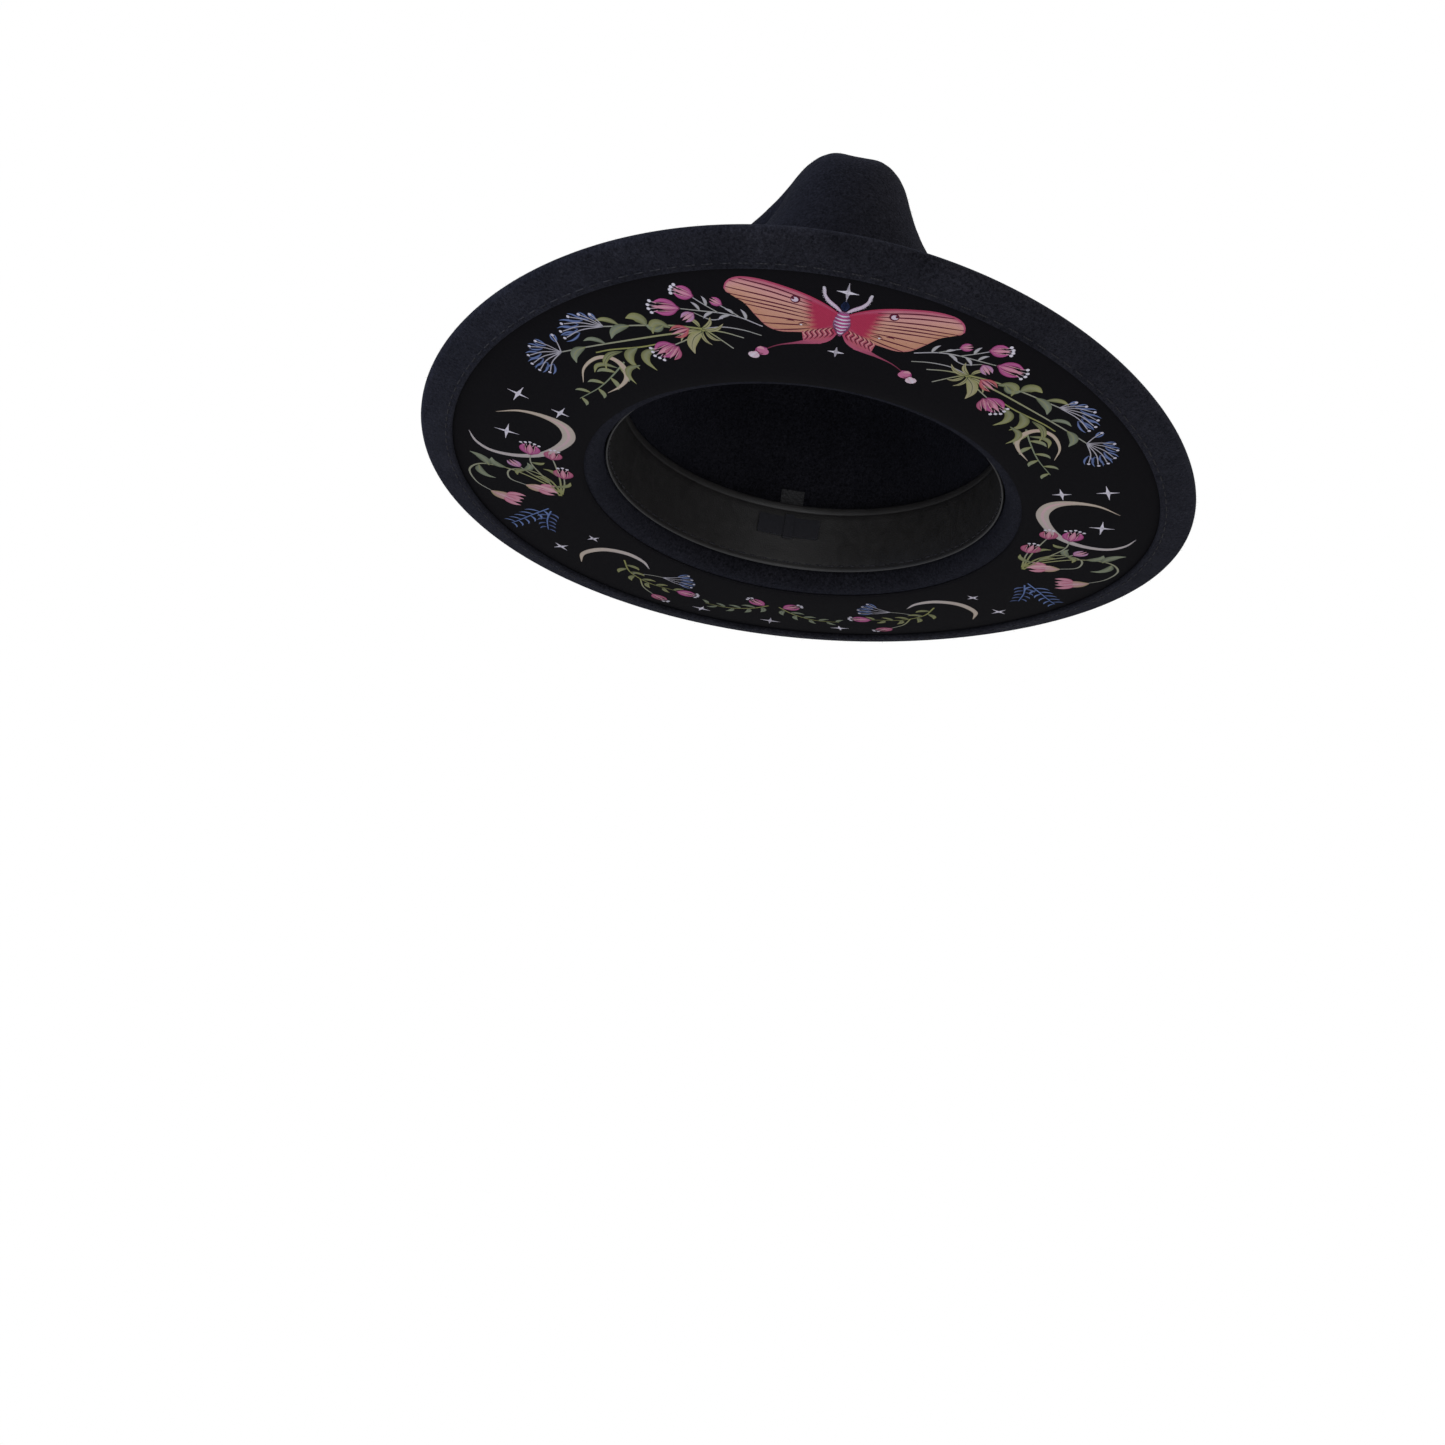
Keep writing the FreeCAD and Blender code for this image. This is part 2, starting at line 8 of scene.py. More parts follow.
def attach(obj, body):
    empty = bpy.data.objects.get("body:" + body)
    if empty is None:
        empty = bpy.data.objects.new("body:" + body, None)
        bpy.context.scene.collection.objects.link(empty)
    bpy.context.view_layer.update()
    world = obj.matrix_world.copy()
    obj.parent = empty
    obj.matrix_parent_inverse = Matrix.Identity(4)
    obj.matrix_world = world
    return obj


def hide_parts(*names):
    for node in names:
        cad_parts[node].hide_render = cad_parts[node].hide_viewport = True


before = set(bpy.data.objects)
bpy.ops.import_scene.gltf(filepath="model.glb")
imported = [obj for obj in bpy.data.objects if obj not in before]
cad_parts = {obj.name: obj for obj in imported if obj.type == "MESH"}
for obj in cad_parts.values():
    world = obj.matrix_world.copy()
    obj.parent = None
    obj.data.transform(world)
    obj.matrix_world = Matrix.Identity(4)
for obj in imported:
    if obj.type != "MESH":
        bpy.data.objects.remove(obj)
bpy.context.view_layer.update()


# ---- Studio -------------------------------------------------------------------------------
# A pale floor far below the hat, white light from all round, and four big soft lamps. The
# camera looks up from below the front of the brim, because the printed underside is the show side.

LAMPS = (
    # name, place, aim, size, watts, colour
    ("left_softbox", (-1.5, -0.5, 0.35), (0.0, 0.0, 0.05), 1.2, 19.0, (0.52, 0.66, 1.0)),
    ("right_softbox", (1.5, -0.6, 0.9), (0.0, 0.0, 0.05), 1.0, 6.0, (1.0, 0.97, 0.95)),
    ("low_front_softbox", (0.1, -1.7, -0.5), (0.0, 0.0, 0.0), 0.8, 9.0, (0.97, 0.98, 1.0)),
    ("top_softbox", (0.2, 0.3, 1.9), (0.0, 0.0, 0.05), 1.6, 10.0, (1.0, 1.0, 1.0)),
)
CAMERA_LENS = 74.74
CAMERA_PLACE = (-0.0437, -1.1539, -0.4857)
CAMERA_FORWARD = (0.0209, 0.9489, 0.3148)
CAMERA_UP = (-0.1559, -0.3080, 0.9385)
BACKDROP_LIGHT = 0.46
FLOOR_HEIGHT = -1.15
FLOOR_RADIUS = 60.0
FLOOR_SIDES = 96


def turned_towards(forward, up):
    """Rotation of a camera or lamp that looks along `forward`."""
    back = -forward.normalized()
    right = up.cross(back).normalized()
    return Matrix((right, back.cross(right), back)).transposed()


def hang_lamp(name, place, aim, width, watts, colour):
    lamp = bpy.data.lights.new(name, "AREA")
    lamp.shape = "DISK"
    lamp.size = width
    lamp.energy = watts
    lamp.color = colour
    holder = bpy.data.objects.new(name, lamp)
    turn = turned_towards(Vector(aim) - Vector(place), Vector((0, 0, 1)))
    holder.matrix_world = Matrix.Translation(place) @ turn.to_4x4()
    bpy.context.scene.collection.objects.link(holder)


for lamp_row in LAMPS:
    hang_lamp(*lamp_row)

camera_data = bpy.data.cameras.new("camera")
camera_data.sensor_width = 36.0
camera_data.lens = CAMERA_LENS
camera = bpy.data.objects.new("camera", camera_data)
camera_turn = turned_towards(Vector(CAMERA_FORWARD), Vector(CAMERA_UP))
camera.matrix_world = Matrix.Translation(CAMERA_PLACE) @ camera_turn.to_4x4()
bpy.context.scene.collection.objects.link(camera)
bpy.context.scene.camera = camera
bpy.context.scene.view_settings.view_transform = "Standard"


def add_node(tree, kind, inputs=(), **settings):
    """A node with its settings, and its inputs given as values or as sockets to link from."""
    made = tree.nodes.new(kind)
    for name, value in settings.items():
        setattr(made, name, value)
    for socket, value in dict(inputs).items():
        if isinstance(value, bpy.types.NodeSocket):
            tree.links.new(value, made.inputs[socket])
        else:
            made.inputs[socket].default_value = value
    return made


def white_studio():
    """White backdrop; its light on the hat is softer than the backdrop looks."""
    world = bpy.data.worlds.new("white_studio")
    world.use_nodes = True
    tree = world.node_tree
    seen = add_node(tree, "ShaderNodeLightPath").outputs["Is Camera Ray"]
    levels = {"Value": seen, "To Min": BACKDROP_LIGHT, "To Max": 1.0}
    strength = add_node(tree, "ShaderNodeMapRange", levels)
    tree.nodes["Background"].inputs["Color"].default_value = (1.0, 1.0, 1.0, 1.0)
    tree.links.new(strength.outputs["Result"], tree.nodes["Background"].inputs["Strength"])
    return world


bpy.context.scene.world = white_studio()


def blank_material(name):
    """A material with only its Principled shader and output, and the tree to add to."""
    material = bpy.data.materials.new(name)
    material.use_nodes = True
    return material, material.node_tree, material.node_tree.nodes["Principled BSDF"]


def two_tones(tree, share, first, second, blend="MIX"):
    """The colour between two tones, by a share from 0 to 1."""
    mixed = {"Factor": share, 6: first, 7: second}
    return add_node(tree, "ShaderNodeMix", mixed, data_type="RGBA", blend_type=blend).outputs[2]


def floor_paint():
    material, tree, shader = blank_material("floor_paint")
    place = add_node(tree, "ShaderNodeTexCoord").outputs["Object"]
    grain = add_node(tree, "ShaderNodeTexNoise", {"Vector": place, "Scale": 3.0, "Detail": 4.0})
    tone = two_tones(tree, grain.outputs["Fac"], (0.90, 0.90, 0.90, 1), (0.94, 0.94, 0.94, 1))
    tree.links.new(tone, shader.inputs["Base Color"])
    shader.inputs["Roughness"].default_value = 0.9
    return material


floor_mesh = bpy.data.meshes.new("floor")
floor_turns = np.arange(FLOOR_SIDES) * 2 * math.pi / FLOOR_SIDES
floor_rim = [(FLOOR_RADIUS * math.cos(turn), FLOOR_RADIUS * math.sin(turn), FLOOR_HEIGHT)
             for turn in floor_turns]
floor_mesh.from_pydata(floor_rim, [], [tuple(range(FLOOR_SIDES))])
floor_mesh.materials.append(floor_paint())
floor = bpy.data.objects.new("floor", floor_mesh)
bpy.context.scene.collection.objects.link(floor)


# ---- Felt body ----------------------------------------------------------------------------
# Crown, brim and overwelt, pressed over a block from one piece of wool felt. Two thumb pinches
# and a long dent shape the crown, and the rim is turned under and pressed flat.
# Lengths are in millimetres up to where a mesh is made.

MM = 0.001
HEAD_HALF_WIDTH, HEAD_HALF_LENGTH = 84.0, 102.0
BRIM_SWING = 5.0
LEVEL_RING = 14.0
RISE_MEAN, RISE_FRONT, RISE_ENDS, RISE_DIP = 8.0, 6.0, 4.5, 1.5
RISE_LEAN, RISE_TWIST, RISE_POWER = 1.0, 3.0, 1.3
CURL_WIDTH, CURL_LIFT = 34.0, 4.0
CREST_HEIGHT, CREST_FALL, CREST_LEAN = 105.5, 9.5, 1.5
NOTCH_DEPTH, NOTCH_SPREAD = 3.2, 16.0
CREST_HALF_WIDTH, CREST_HALF_LENGTH, CREST_SHIFT = 33.7, 78.7, -4.6
CREST_NARROWING, CREST_NARROW_POWER, CREST_SQUARE = 0.49, 1.3, 0.685
DENT_FLOOR, DENT_HALF_WIDTH, DENT_HALF_LENGTH = 88.0, 6.0, 40.0
PINCH_DEPTH, PINCH_ANGLE, PINCH_SPREAD = 21.6, 50.0, 24.6
PINCH_START, PINCH_POWER = 0.24, 0.9
FELT = 2.4
CLOTH = 0.5
GLUE = 0.1
BREAK = 7.0
REACH = 82.0
WELT_EDGE = 67.0
WELT_FELT = 2.0
CLOTH_EDGE = 73.0
CLOTH_UNDER = CLOTH + GLUE
SLOT_DEPTH = CLOTH + 2 * GLUE
WALL_FOOT = CLOTH_UNDER + BREAK
NOSE = (FELT + SLOT_DEPTH + WELT_FELT) / 2
FELT_COLUMNS = 480
STITCH_COUNT = 147
STITCH_OUT = WELT_EDGE + 2.5
WELT_MIDDLE = 76.5
DIMPLE_WIDTH = 1.3
DIMPLE_UNDER, DIMPLE_ABOVE = 0.22, 0.14


def mix(first, second, share):
    return first + (second - first) * share


def ease(share):
    share = np.clip(share, 0.0, 1.0)
    return share * share * (3 - 2 * share)


def stacked(x, y, z):
    return np.stack(np.broadcast_arrays(x, y, z), axis=-1)


def off_front(turn):
    """Degrees from the front, 0 to 180 on either side."""
    return np.degrees(np.abs(np.arctan2(np.sin(turn), np.cos(turn))))


def crest_height(turn):
    notch = NOTCH_DEPTH * np.exp(-(off_front(turn) / NOTCH_SPREAD) ** 2)
    return CREST_HEIGHT + CREST_FALL * np.cos(turn) - CREST_LEAN * np.sin(turn) - notch


def crest_place(turn):
    to_front = ((1 + np.cos(turn)) / 2) ** CREST_NARROW_POWER
    half_width = CREST_HALF_WIDTH * (1 - CREST_NARROWING * to_front)
    x = half_width * np.sign(np.sin(turn)) * np.abs(np.sin(turn)) ** CREST_SQUARE
    return stacked(x, CREST_SHIFT - CREST_HALF_LENGTH * np.cos(turn), crest_height(turn))


def dent_place(share, turn):
    """From the dent's middle (-1) over its level floor (0) up to the crest (1)."""
    floor_share = 1 + np.minimum(share, 0)
    rise = np.maximum(share, 0)
    crest = crest_place(turn)
    x = mix(DENT_HALF_WIDTH * np.sin(turn) * floor_share, crest[..., 0], rise)
    y = mix(-DENT_HALF_LENGTH * np.cos(turn) * floor_share, crest[..., 1], rise)
    return stacked(x, y, mix(crest[..., 2], DENT_FLOOR, ease(1 - rise)))


def wall_place(climb, turn):
    """Up the crown's wall, from its foot (0) to the crest (1), with the two thumb pinches."""
    lean = climb * math.pi / 2
    crest = crest_place(turn)
    x = mix(crest[..., 0], HEAD_HALF_WIDTH * np.sin(turn), np.cos(lean))
    y = mix(crest[..., 1], -HEAD_HALF_LENGTH * np.cos(turn), np.cos(lean))
    z = mix(WALL_FOOT, crest[..., 2], np.sin(lean))
    across = np.exp(-((off_front(turn) - PINCH_ANGLE) / PINCH_SPREAD) ** 2)
    up = np.clip((climb - PINCH_START) / (1 - PINCH_START), 0, 1) ** PINCH_POWER
    depth = PINCH_DEPTH * across * np.sin(math.pi * up) ** 2
    heading = math.radians(PINCH_ANGLE)
    return stacked(x - depth * np.sin(turn) / math.tan(heading), y + depth * math.sin(heading), z)


def oval_place(out, turn, height):
    """A place `out` from the crown's opening; the brim is wider at the front and back."""
    stretched = out * (1 + BRIM_SWING * np.cos(2 * turn) / REACH)
    x = (HEAD_HALF_WIDTH + stretched) * np.sin(turn)
    return stacked(x, -(HEAD_HALF_LENGTH + stretched) * np.cos(turn), height)


def break_place(share, turn):
    """Round the break, from the wall's foot (0) out to the brim (1)."""
    lean = share * math.pi / 2
    return oval_place(BREAK * (1 - np.cos(lean)), turn, WALL_FOOT - BREAK * np.sin(lean))


def brim_place(out, turn):
    """The brim sweeps up past its level ring, and curls along its rim."""
    rise = RISE_MEAN + RISE_FRONT * np.cos(turn) + RISE_ENDS * np.cos(2 * turn)
    rise = rise + RISE_DIP * np.cos(3 * turn) - RISE_LEAN * np.sin(turn) - RISE_TWIST * np.sin(2 * turn)
    sweep = np.clip((out - LEVEL_RING) / (REACH - LEVEL_RING), 0, 1) ** RISE_POWER
    curl = np.clip(1 + (out - REACH) / CURL_WIDTH, 0, 1.2) ** 2
    return oval_place(out, turn, CLOTH_UNDER + rise * sweep + CURL_LIFT * curl)


def face_place(station, turn):
    """The felt's inner face: floor -1 to 0, dent 0 to 1, wall 1 to 2, break 2 to 3, brim 3 to 4."""
    station, turn = np.broadcast_arrays(np.asarray(station, float), np.asarray(turn, float))
    place = brim_place(mix(BREAK, REACH, np.maximum(station - 3, 0)), turn)
    on_break = break_place(np.clip(station - 2, 0, 1), turn)
    on_wall = wall_place(np.clip(2 - station, 0, 1), turn)
    on_dent = dent_place(np.clip(station, -1, 1), turn)
    for limit, nearer in ((3, on_break), (2, on_wall), (1, on_dent)):
        place = np.where((station <= limit)[..., None], nearer, place)
    return place


def face_axes(station, turn):
    """Unit vectors towards the rim, and out of the hat."""
    step = 1e-4
    along = face_place(station + step, turn) - face_place(station - step, turn)
    around = face_place(station, turn + step) - face_place(station, turn - step)
    out_of = np.cross(along, around)
    level = np.broadcast_to(np.asarray(station) <= 0.02, out_of.shape[:-1])[..., None]
    out_of = np.where(level, (0.0, 0.0, 1.0), out_of)
    out_of /= np.linalg.norm(out_of, axis=-1, keepdims=True)
    rimward = np.cross(around, out_of)
    return rimward / np.maximum(np.linalg.norm(rimward, axis=-1, keepdims=True), 1e-12), out_of


def felt_place(station, turn, offset):
    """A place `offset` outwards from the felt's inner face."""
    out_of = face_axes(station, turn)[1]
    return face_place(station, turn) + out_of * np.asarray(offset)[..., None]


def brim_station(out):
    return 3 + (out - BREAK) / (REACH - BREAK)


def full_turn(columns):
    return np.arange(columns) * 2 * math.pi / columns


def ring_quads(rows, columns, around_rows=False):
    """Quads between rows of a ring, and back to the first row too if `around_rows`."""
    quads = []
    for row in range(rows if around_rows else rows - 1):
        near, far = row * columns, (row + 1) % rows * columns
        for column in range(columns):
            after = (column + 1) % columns
            quads.append((near + column, near + after, far + after, far + column))
    return quads


def make_mesh(name, places, faces, material):
    """A mesh of places in millimetres, its faces turned outwards by its own volume."""
    mesh = bpy.data.meshes.new(name)
    mesh.from_pydata((np.asarray(places) * MM).tolist(), [], faces)
    mesh.materials.append(material)
    mesh.polygons.foreach_set("use_smooth", [True] * len(mesh.polygons))
    mesh.calc_loop_triangles()
    count = len(mesh.loop_triangles)
    corners = np.zeros(count * 3, int)
    mesh.loop_triangles.foreach_get("vertices", corners)
    first, second, third = np.asarray(places)[corners.reshape(-1, 3)].transpose(1, 0, 2)
    if np.einsum("ij,ij->i", first, np.cross(second, third)).sum() < 0:
        mesh.flip_normals()
    made = bpy.data.objects.new(name, mesh)
    bpy.context.scene.collection.objects.link(made)
    return made


def store(made, name, kind, values):
    """Keeps a value for each point of a mesh."""
    field = {"FLOAT": "value", "FLOAT_VECTOR": "vector", "FLOAT_COLOR": "color"}[kind]
    kept = made.data.attributes.new(name, kind, "POINT")
    kept.data.foreach_set(field, np.asarray(values, np.float32).ravel())


def stitch_dimple(out, turn, depth):
    """How far the overwelt's thread pulls the felt in, beside each stitch."""
    beside = np.exp(-((out - STITCH_OUT) / DIMPLE_WIDTH) ** 2)
    return depth * beside * (0.55 + 0.45 * np.cos(turn * STITCH_COUNT))


def felt_rings(turns):
    """Closed rings from the dent's inner middle, over the rim, to the dent's outer middle."""
    rings, rubs = [], []

    def add(places, rub):
        rings.append(places)
        rubs.append(np.broadcast_to(rub, turns.shape))

    def crest_rub(station):
        return np.exp(-((station - 1.0) / 0.13) ** 2)

    crown = np.concatenate([
        np.linspace(-0.9, 0, 4, endpoint=False), np.linspace(0, 1, 12, endpoint=False),
        np.linspace(1, 2, 26, endpoint=False), np.linspace(2, 3, 7, endpoint=False)])
    inner_outs = np.linspace(BREAK, CLOTH_EDGE + 0.3, 14)
    for station in np.concatenate([crown, brim_station(inner_outs)]):
        add(felt_place(station, turns, 0.0), 0.0)
    for out in np.linspace(CLOTH_EDGE + 0.3, WELT_EDGE + 0.5, 4):
        add(felt_place(brim_station(out), turns, -SLOT_DEPTH), 0.0)
    for lean in np.linspace(0, math.pi, 7):
        out = WELT_EDGE + WELT_FELT * 0.32 * (1 - math.sin(lean))
        depth = SLOT_DEPTH + WELT_FELT * (1 - math.cos(lean)) / 2
        add(felt_place(brim_station(out), turns, -depth), 0.75 * math.sin(lean / 2))
    welt_outs = [WELT_EDGE + 1.3, STITCH_OUT - 0.5, STITCH_OUT, STITCH_OUT + 0.5, STITCH_OUT + 1.3]
    for out in welt_outs + list(np.linspace(STITCH_OUT + 2.6, REACH - NOSE, 4)):
        depth = SLOT_DEPTH + WELT_FELT - stitch_dimple(out, turns, DIMPLE_UNDER)
        add(felt_place(brim_station(out), turns, -depth), 0.70)
    rim = brim_station(REACH - NOSE)
    rimward, out_of = face_axes(rim, turns)
    middle = face_place(rim, turns) + out_of * (FELT - NOSE)
    for lean in np.linspace(0, math.pi, 13)[1:-1]:
        reach = rimward * (NOSE * math.sin(lean)) - out_of * (NOSE * math.cos(lean))
        add(middle + reach, 0.45 + 0.3 * math.cos(lean) + 0.2 * math.sin(lean))
    for out in [REACH - NOSE, WELT_MIDDLE] + welt_outs[::-1]:
        depth = FELT - stitch_dimple(out, turns, DIMPLE_ABOVE)
        add(felt_place(brim_station(out), turns, depth), 0.15)
    for out in np.linspace(WELT_EDGE - 2, BREAK, 15):
        add(felt_place(brim_station(out), turns, FELT), 0.0)
    for station in reversed(crown):
        add(felt_place(station, turns, FELT), crest_rub(station))
    return np.array(rings), np.array(rubs)


def raise_relief(tree, shader, height, strength, distance):
    """Fine relief on a finish, too small for its mesh."""
    relief = {"Strength": strength, "Distance": distance, "Height": height}
    normal = add_node(tree, "ShaderNodeBump", relief).outputs["Normal"]
    tree.links.new(normal, shader.inputs["Normal"])


def wool_felt():
    """Pressed wool felt, dyed blue black: a matted fine nap, greyer where it is rubbed."""
    material, tree, shader = blank_material("wool_felt")
    place = add_node(tree, "ShaderNodeTexCoord").outputs["Object"]
    matting = add_node(
        tree, "ShaderNodeTexNoise",
        {"Vector": place, "Scale": 900.0, "Detail": 6.0, "Roughness": 0.8, "Distortion": 0.8})
    cloudy = add_node(
        tree, "ShaderNodeTexNoise", {"Vector": place, "Scale": 46.0, "Detail": 4.0, "Roughness": 0.6})
    curls = add_node(
        tree, "ShaderNodeTexVoronoi", {"Vector": place, "Scale": 620.0}, feature="DISTANCE_TO_EDGE")
    matted = add_node(
        tree, "ShaderNodeMapRange", {"Value": matting.outputs["Fac"], "From Min": 0.38, "From Max": 0.66})
    rub = add_node(tree, "ShaderNodeAttribute", attribute_name="rub").outputs["Fac"]
    dye = two_tones(
        tree, matted.outputs["Result"], (0.0022, 0.0022, 0.0031, 1), (0.0185, 0.0182, 0.0235, 1))
    raised = two_tones(
        tree, matted.outputs["Result"], (0.0070, 0.0070, 0.0092, 1), (0.0360, 0.0355, 0.0450, 1))
    worn_share = add_node(
        tree, "ShaderNodeMath", {0: rub, 1: cloudy.outputs["Fac"]}, operation="MULTIPLY")
    worn = two_tones(tree, worn_share.outputs[0], dye, raised)
    patchy = add_node(
        tree, "ShaderNodeMapRange",
        {"Value": cloudy.outputs["Fac"], "From Min": 0.3, "From Max": 0.7, "To Min": 0.82, "To Max": 1.14})
    colour = two_tones(tree, 1.0, worn, patchy.outputs["Result"], "MULTIPLY")
    tree.links.new(colour, shader.inputs["Base Color"])
    height = add_node(
        tree, "ShaderNodeMath",
        {0: curls.outputs["Distance"], 1: 0.5, 2: matting.outputs["Fac"]}, operation="MULTIPLY_ADD")
    raise_relief(tree, shader, height.outputs[0], 0.8, 0.0007)
    shader.inputs["Roughness"].default_value = 0.96
    shader.inputs["Specular IOR Level"].default_value = 0.03
    shader.inputs["Sheen Weight"].default_value = 0.035
    shader.inputs["Sheen Roughness"].default_value = 0.45
    shader.inputs["Sheen Tint"].default_value = (0.62, 0.68, 1.0, 1.0)
    return material


def build_felt_body():
    turns = full_turn(FELT_COLUMNS)
    rings, rubs = felt_rings(turns)
    places = rings.reshape(-1, 3)
    quads = ring_quads(len(rings), FELT_COLUMNS)
    hubs = [rings[0].mean(axis=0), rings[-1].mean(axis=0)]
    last = (len(rings) - 1) * FELT_COLUMNS
    for column in range(FELT_COLUMNS):
        after = (column + 1) % FELT_COLUMNS
        quads.append((len(places), after, column))
        quads.append((len(places) + 1, last + column, last + after))
    made = make_mesh("hat_felt", np.vstack([places, hubs]), quads, wool_felt())
    store(made, "rub", "FLOAT", np.append(rubs.ravel(), (0.0, 0.0)))
    return made


hat_felt = build_felt_body()


def run_nodes(made, tree, values):
    """Puts a node tree on an object with its named values, and keeps the result as plain mesh."""
    modifier = made.modifiers.new(tree.name, "NODES")
    modifier.node_group = tree
    sockets = {item.name: item.identifier for item in tree.interface.items_tree if item.in_out == "INPUT"}
    for name, value in values.items():
        modifier[sockets[name]] = value
    made.update_tag()
    depsgraph = bpy.context.evaluated_depsgraph_get()
    mesh = bpy.data.meshes.new_from_object(made.evaluated_get(depsgraph))
    made.modifiers.clear()
    made.data = mesh
    return made


def node_tree(name, numbers):
    """An empty geometry tree with named number inputs, a material input and its two ends."""
    tree = bpy.data.node_groups.new(name, "GeometryNodeTree")
    tree.interface.new_socket("Geometry", in_out="INPUT", socket_type="NodeSocketGeometry")
    for label, kind in numbers:
        tree.interface.new_socket(label, in_out="INPUT", socket_type=kind)
    tree.interface.new_socket("Material", in_out="INPUT", socket_type="NodeSocketMaterial")
    tree.interface.new_socket("Geometry", in_out="OUTPUT", socket_type="NodeSocketGeometry")
    return tree, add_node(tree, "NodeGroupInput").outputs, add_node(tree, "NodeGroupOutput")


def end_tree(tree, given, end, geometry):
    """Every tree ends in real geometry with its material set."""
    real = add_node(tree, "GeometryNodeRealizeInstances", {"Geometry": geometry})
    smooth = add_node(tree, "GeometryNodeSetShadeSmooth", {"Geometry": real.outputs["Geometry"]})
    inputs = {"Geometry": smooth.outputs["Geometry"], "Material": given["Material"]}
    painted = add_node(tree, "GeometryNodeSetMaterial", inputs)
    tree.links.new(painted.outputs["Geometry"], end.inputs["Geometry"])


def loose_fibre_tree():
    """Short bent fibres that stand off the felt, thrown over it at random."""
    tree, given, end = node_tree("loose_fibres", (
        ("Fibres per square metre", "NodeSocketFloat"), ("Fibre length", "NodeSocketFloat"),
        ("Fibre width", "NodeSocketFloat"), ("Seed", "NodeSocketInt")))
    scatter = add_node(tree, "GeometryNodeDistributePointsOnFaces", {
        "Mesh": given["Geometry"], "Density": given["Fibres per square metre"], "Seed": given["Seed"]})
    middle = add_node(tree, "ShaderNodeCombineXYZ", {"Z": given["Fibre length"]})
    tip = add_node(tree, "ShaderNodeCombineXYZ", {"X": given["Fibre length"], "Z": given["Fibre length"]})
    bend = add_node(tree, "GeometryNodeCurveQuadraticBezier", {
        "Resolution": 2, "Start": (0, 0, 0), "Middle": middle.outputs[0], "End": tip.outputs[0]})
    side = add_node(tree, "ShaderNodeCombineXYZ", {"X": given["Fibre width"]})
    flat = add_node(tree, "GeometryNodeCurvePrimitiveLine", {"Start": (0, 0, 0), "End": side.outputs[0]})
    fibre = add_node(tree, "GeometryNodeCurveToMesh", {
        "Curve": bend.outputs[0], "Profile Curve": flat.outputs[0]})
    spin = add_node(tree, "FunctionNodeRandomValue", {
        0: (-0.9, -0.9, 0.0), 1: (0.9, 0.9, 6.283), "Seed": given["Seed"]}, data_type="FLOAT_VECTOR")
    turned = add_node(tree, "FunctionNodeRotateRotation", {
        "Rotation": scatter.outputs["Rotation"], "Rotate By": spin.outputs[0]}, rotation_space="LOCAL")
    length = add_node(tree, "FunctionNodeRandomValue", {
        2: 0.35, 3: 1.0, "Seed": given["Seed"]}, data_type="FLOAT")
    placed = add_node(tree, "GeometryNodeInstanceOnPoints", {
        "Points": scatter.outputs["Points"], "Instance": fibre.outputs[0],
        "Rotation": turned.outputs[0], "Scale": length.outputs[1]})
    end_tree(tree, given, end, placed.outputs[0])
    return tree


def build_nap():
    made = bpy.data.objects.new("hat_felt_nap", hat_felt.data.copy())
    bpy.context.scene.collection.objects.link(made)
    return run_nodes(made, loose_fibre_tree(), {
        "Fibres per square metre": 105000.0, "Fibre length": 0.8 * MM, "Fibre width": 0.045 * MM,
        "Seed": 7, "Material": hat_felt.data.materials[0]})


nap = build_nap()

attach(hat_felt, "root")
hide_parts("felt_body")
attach(nap, "root")


# ---- Underbrim cloth ----------------------------------------------------------------------
# A thin black polyester plain weave, cut as a ring, bonded under the brim and tucked into the
# overwelt. It carries the print.

CLOTH_START = BREAK + 1.0
CLOTH_COLUMNS, CLOTH_ROWS = 420, 24
RIPPLES, RIPPLE_LIFT = 23, 0.02


def plain_weave(tree, pitch):
    """Height of a plain weave, over and under, seen from above or below."""
    place = add_node(tree, "ShaderNodeTexCoord").outputs["Object"]
    parts = add_node(tree, "ShaderNodeSeparateXYZ", {"Vector": place})
    waves = []
    for axis in ("X", "Y"):
        scaled = add_node(
            tree, "ShaderNodeMath", {0: parts.outputs[axis], 1: math.pi / pitch}, operation="MULTIPLY")
        waves.append(add_node(tree, "ShaderNodeMath", {0: scaled.outputs[0]}, operation="SINE").outputs[0])
    crossed = add_node(tree, "ShaderNodeMath", {0: waves[0], 1: waves[1]}, operation="MULTIPLY")
    slubs = add_node(tree, "ShaderNodeTexNoise", {"Vector": place, "Scale": 900.0, "Detail": 3.0})
    return add_node(
        tree, "ShaderNodeMath",
        {0: slubs.outputs["Fac"], 1: 1.2, 2: crossed.outputs[0]}, operation="MULTIPLY_ADD").outputs[0]


def black_cloth():
    material, tree, shader = blank_material("black_polyester_cloth")
    weave = plain_weave(tree, 0.45 * MM)
    tone = add_node(tree, "ShaderNodeMapRange", {"Value": weave, "From Min": -0.6, "From Max": 1.8})
    colour = two_tones(
        tree, tone.outputs["Result"], (0.0022, 0.0020, 0.0026, 1), (0.0066, 0.0060, 0.0074, 1))
    tree.links.new(colour, shader.inputs["Base Color"])
    raise_relief(tree, shader, weave, 0.4, 0.00012)
    shader.inputs["Roughness"].default_value = 0.9
    shader.inputs["Specular IOR Level"].default_value = 0.05
    return material


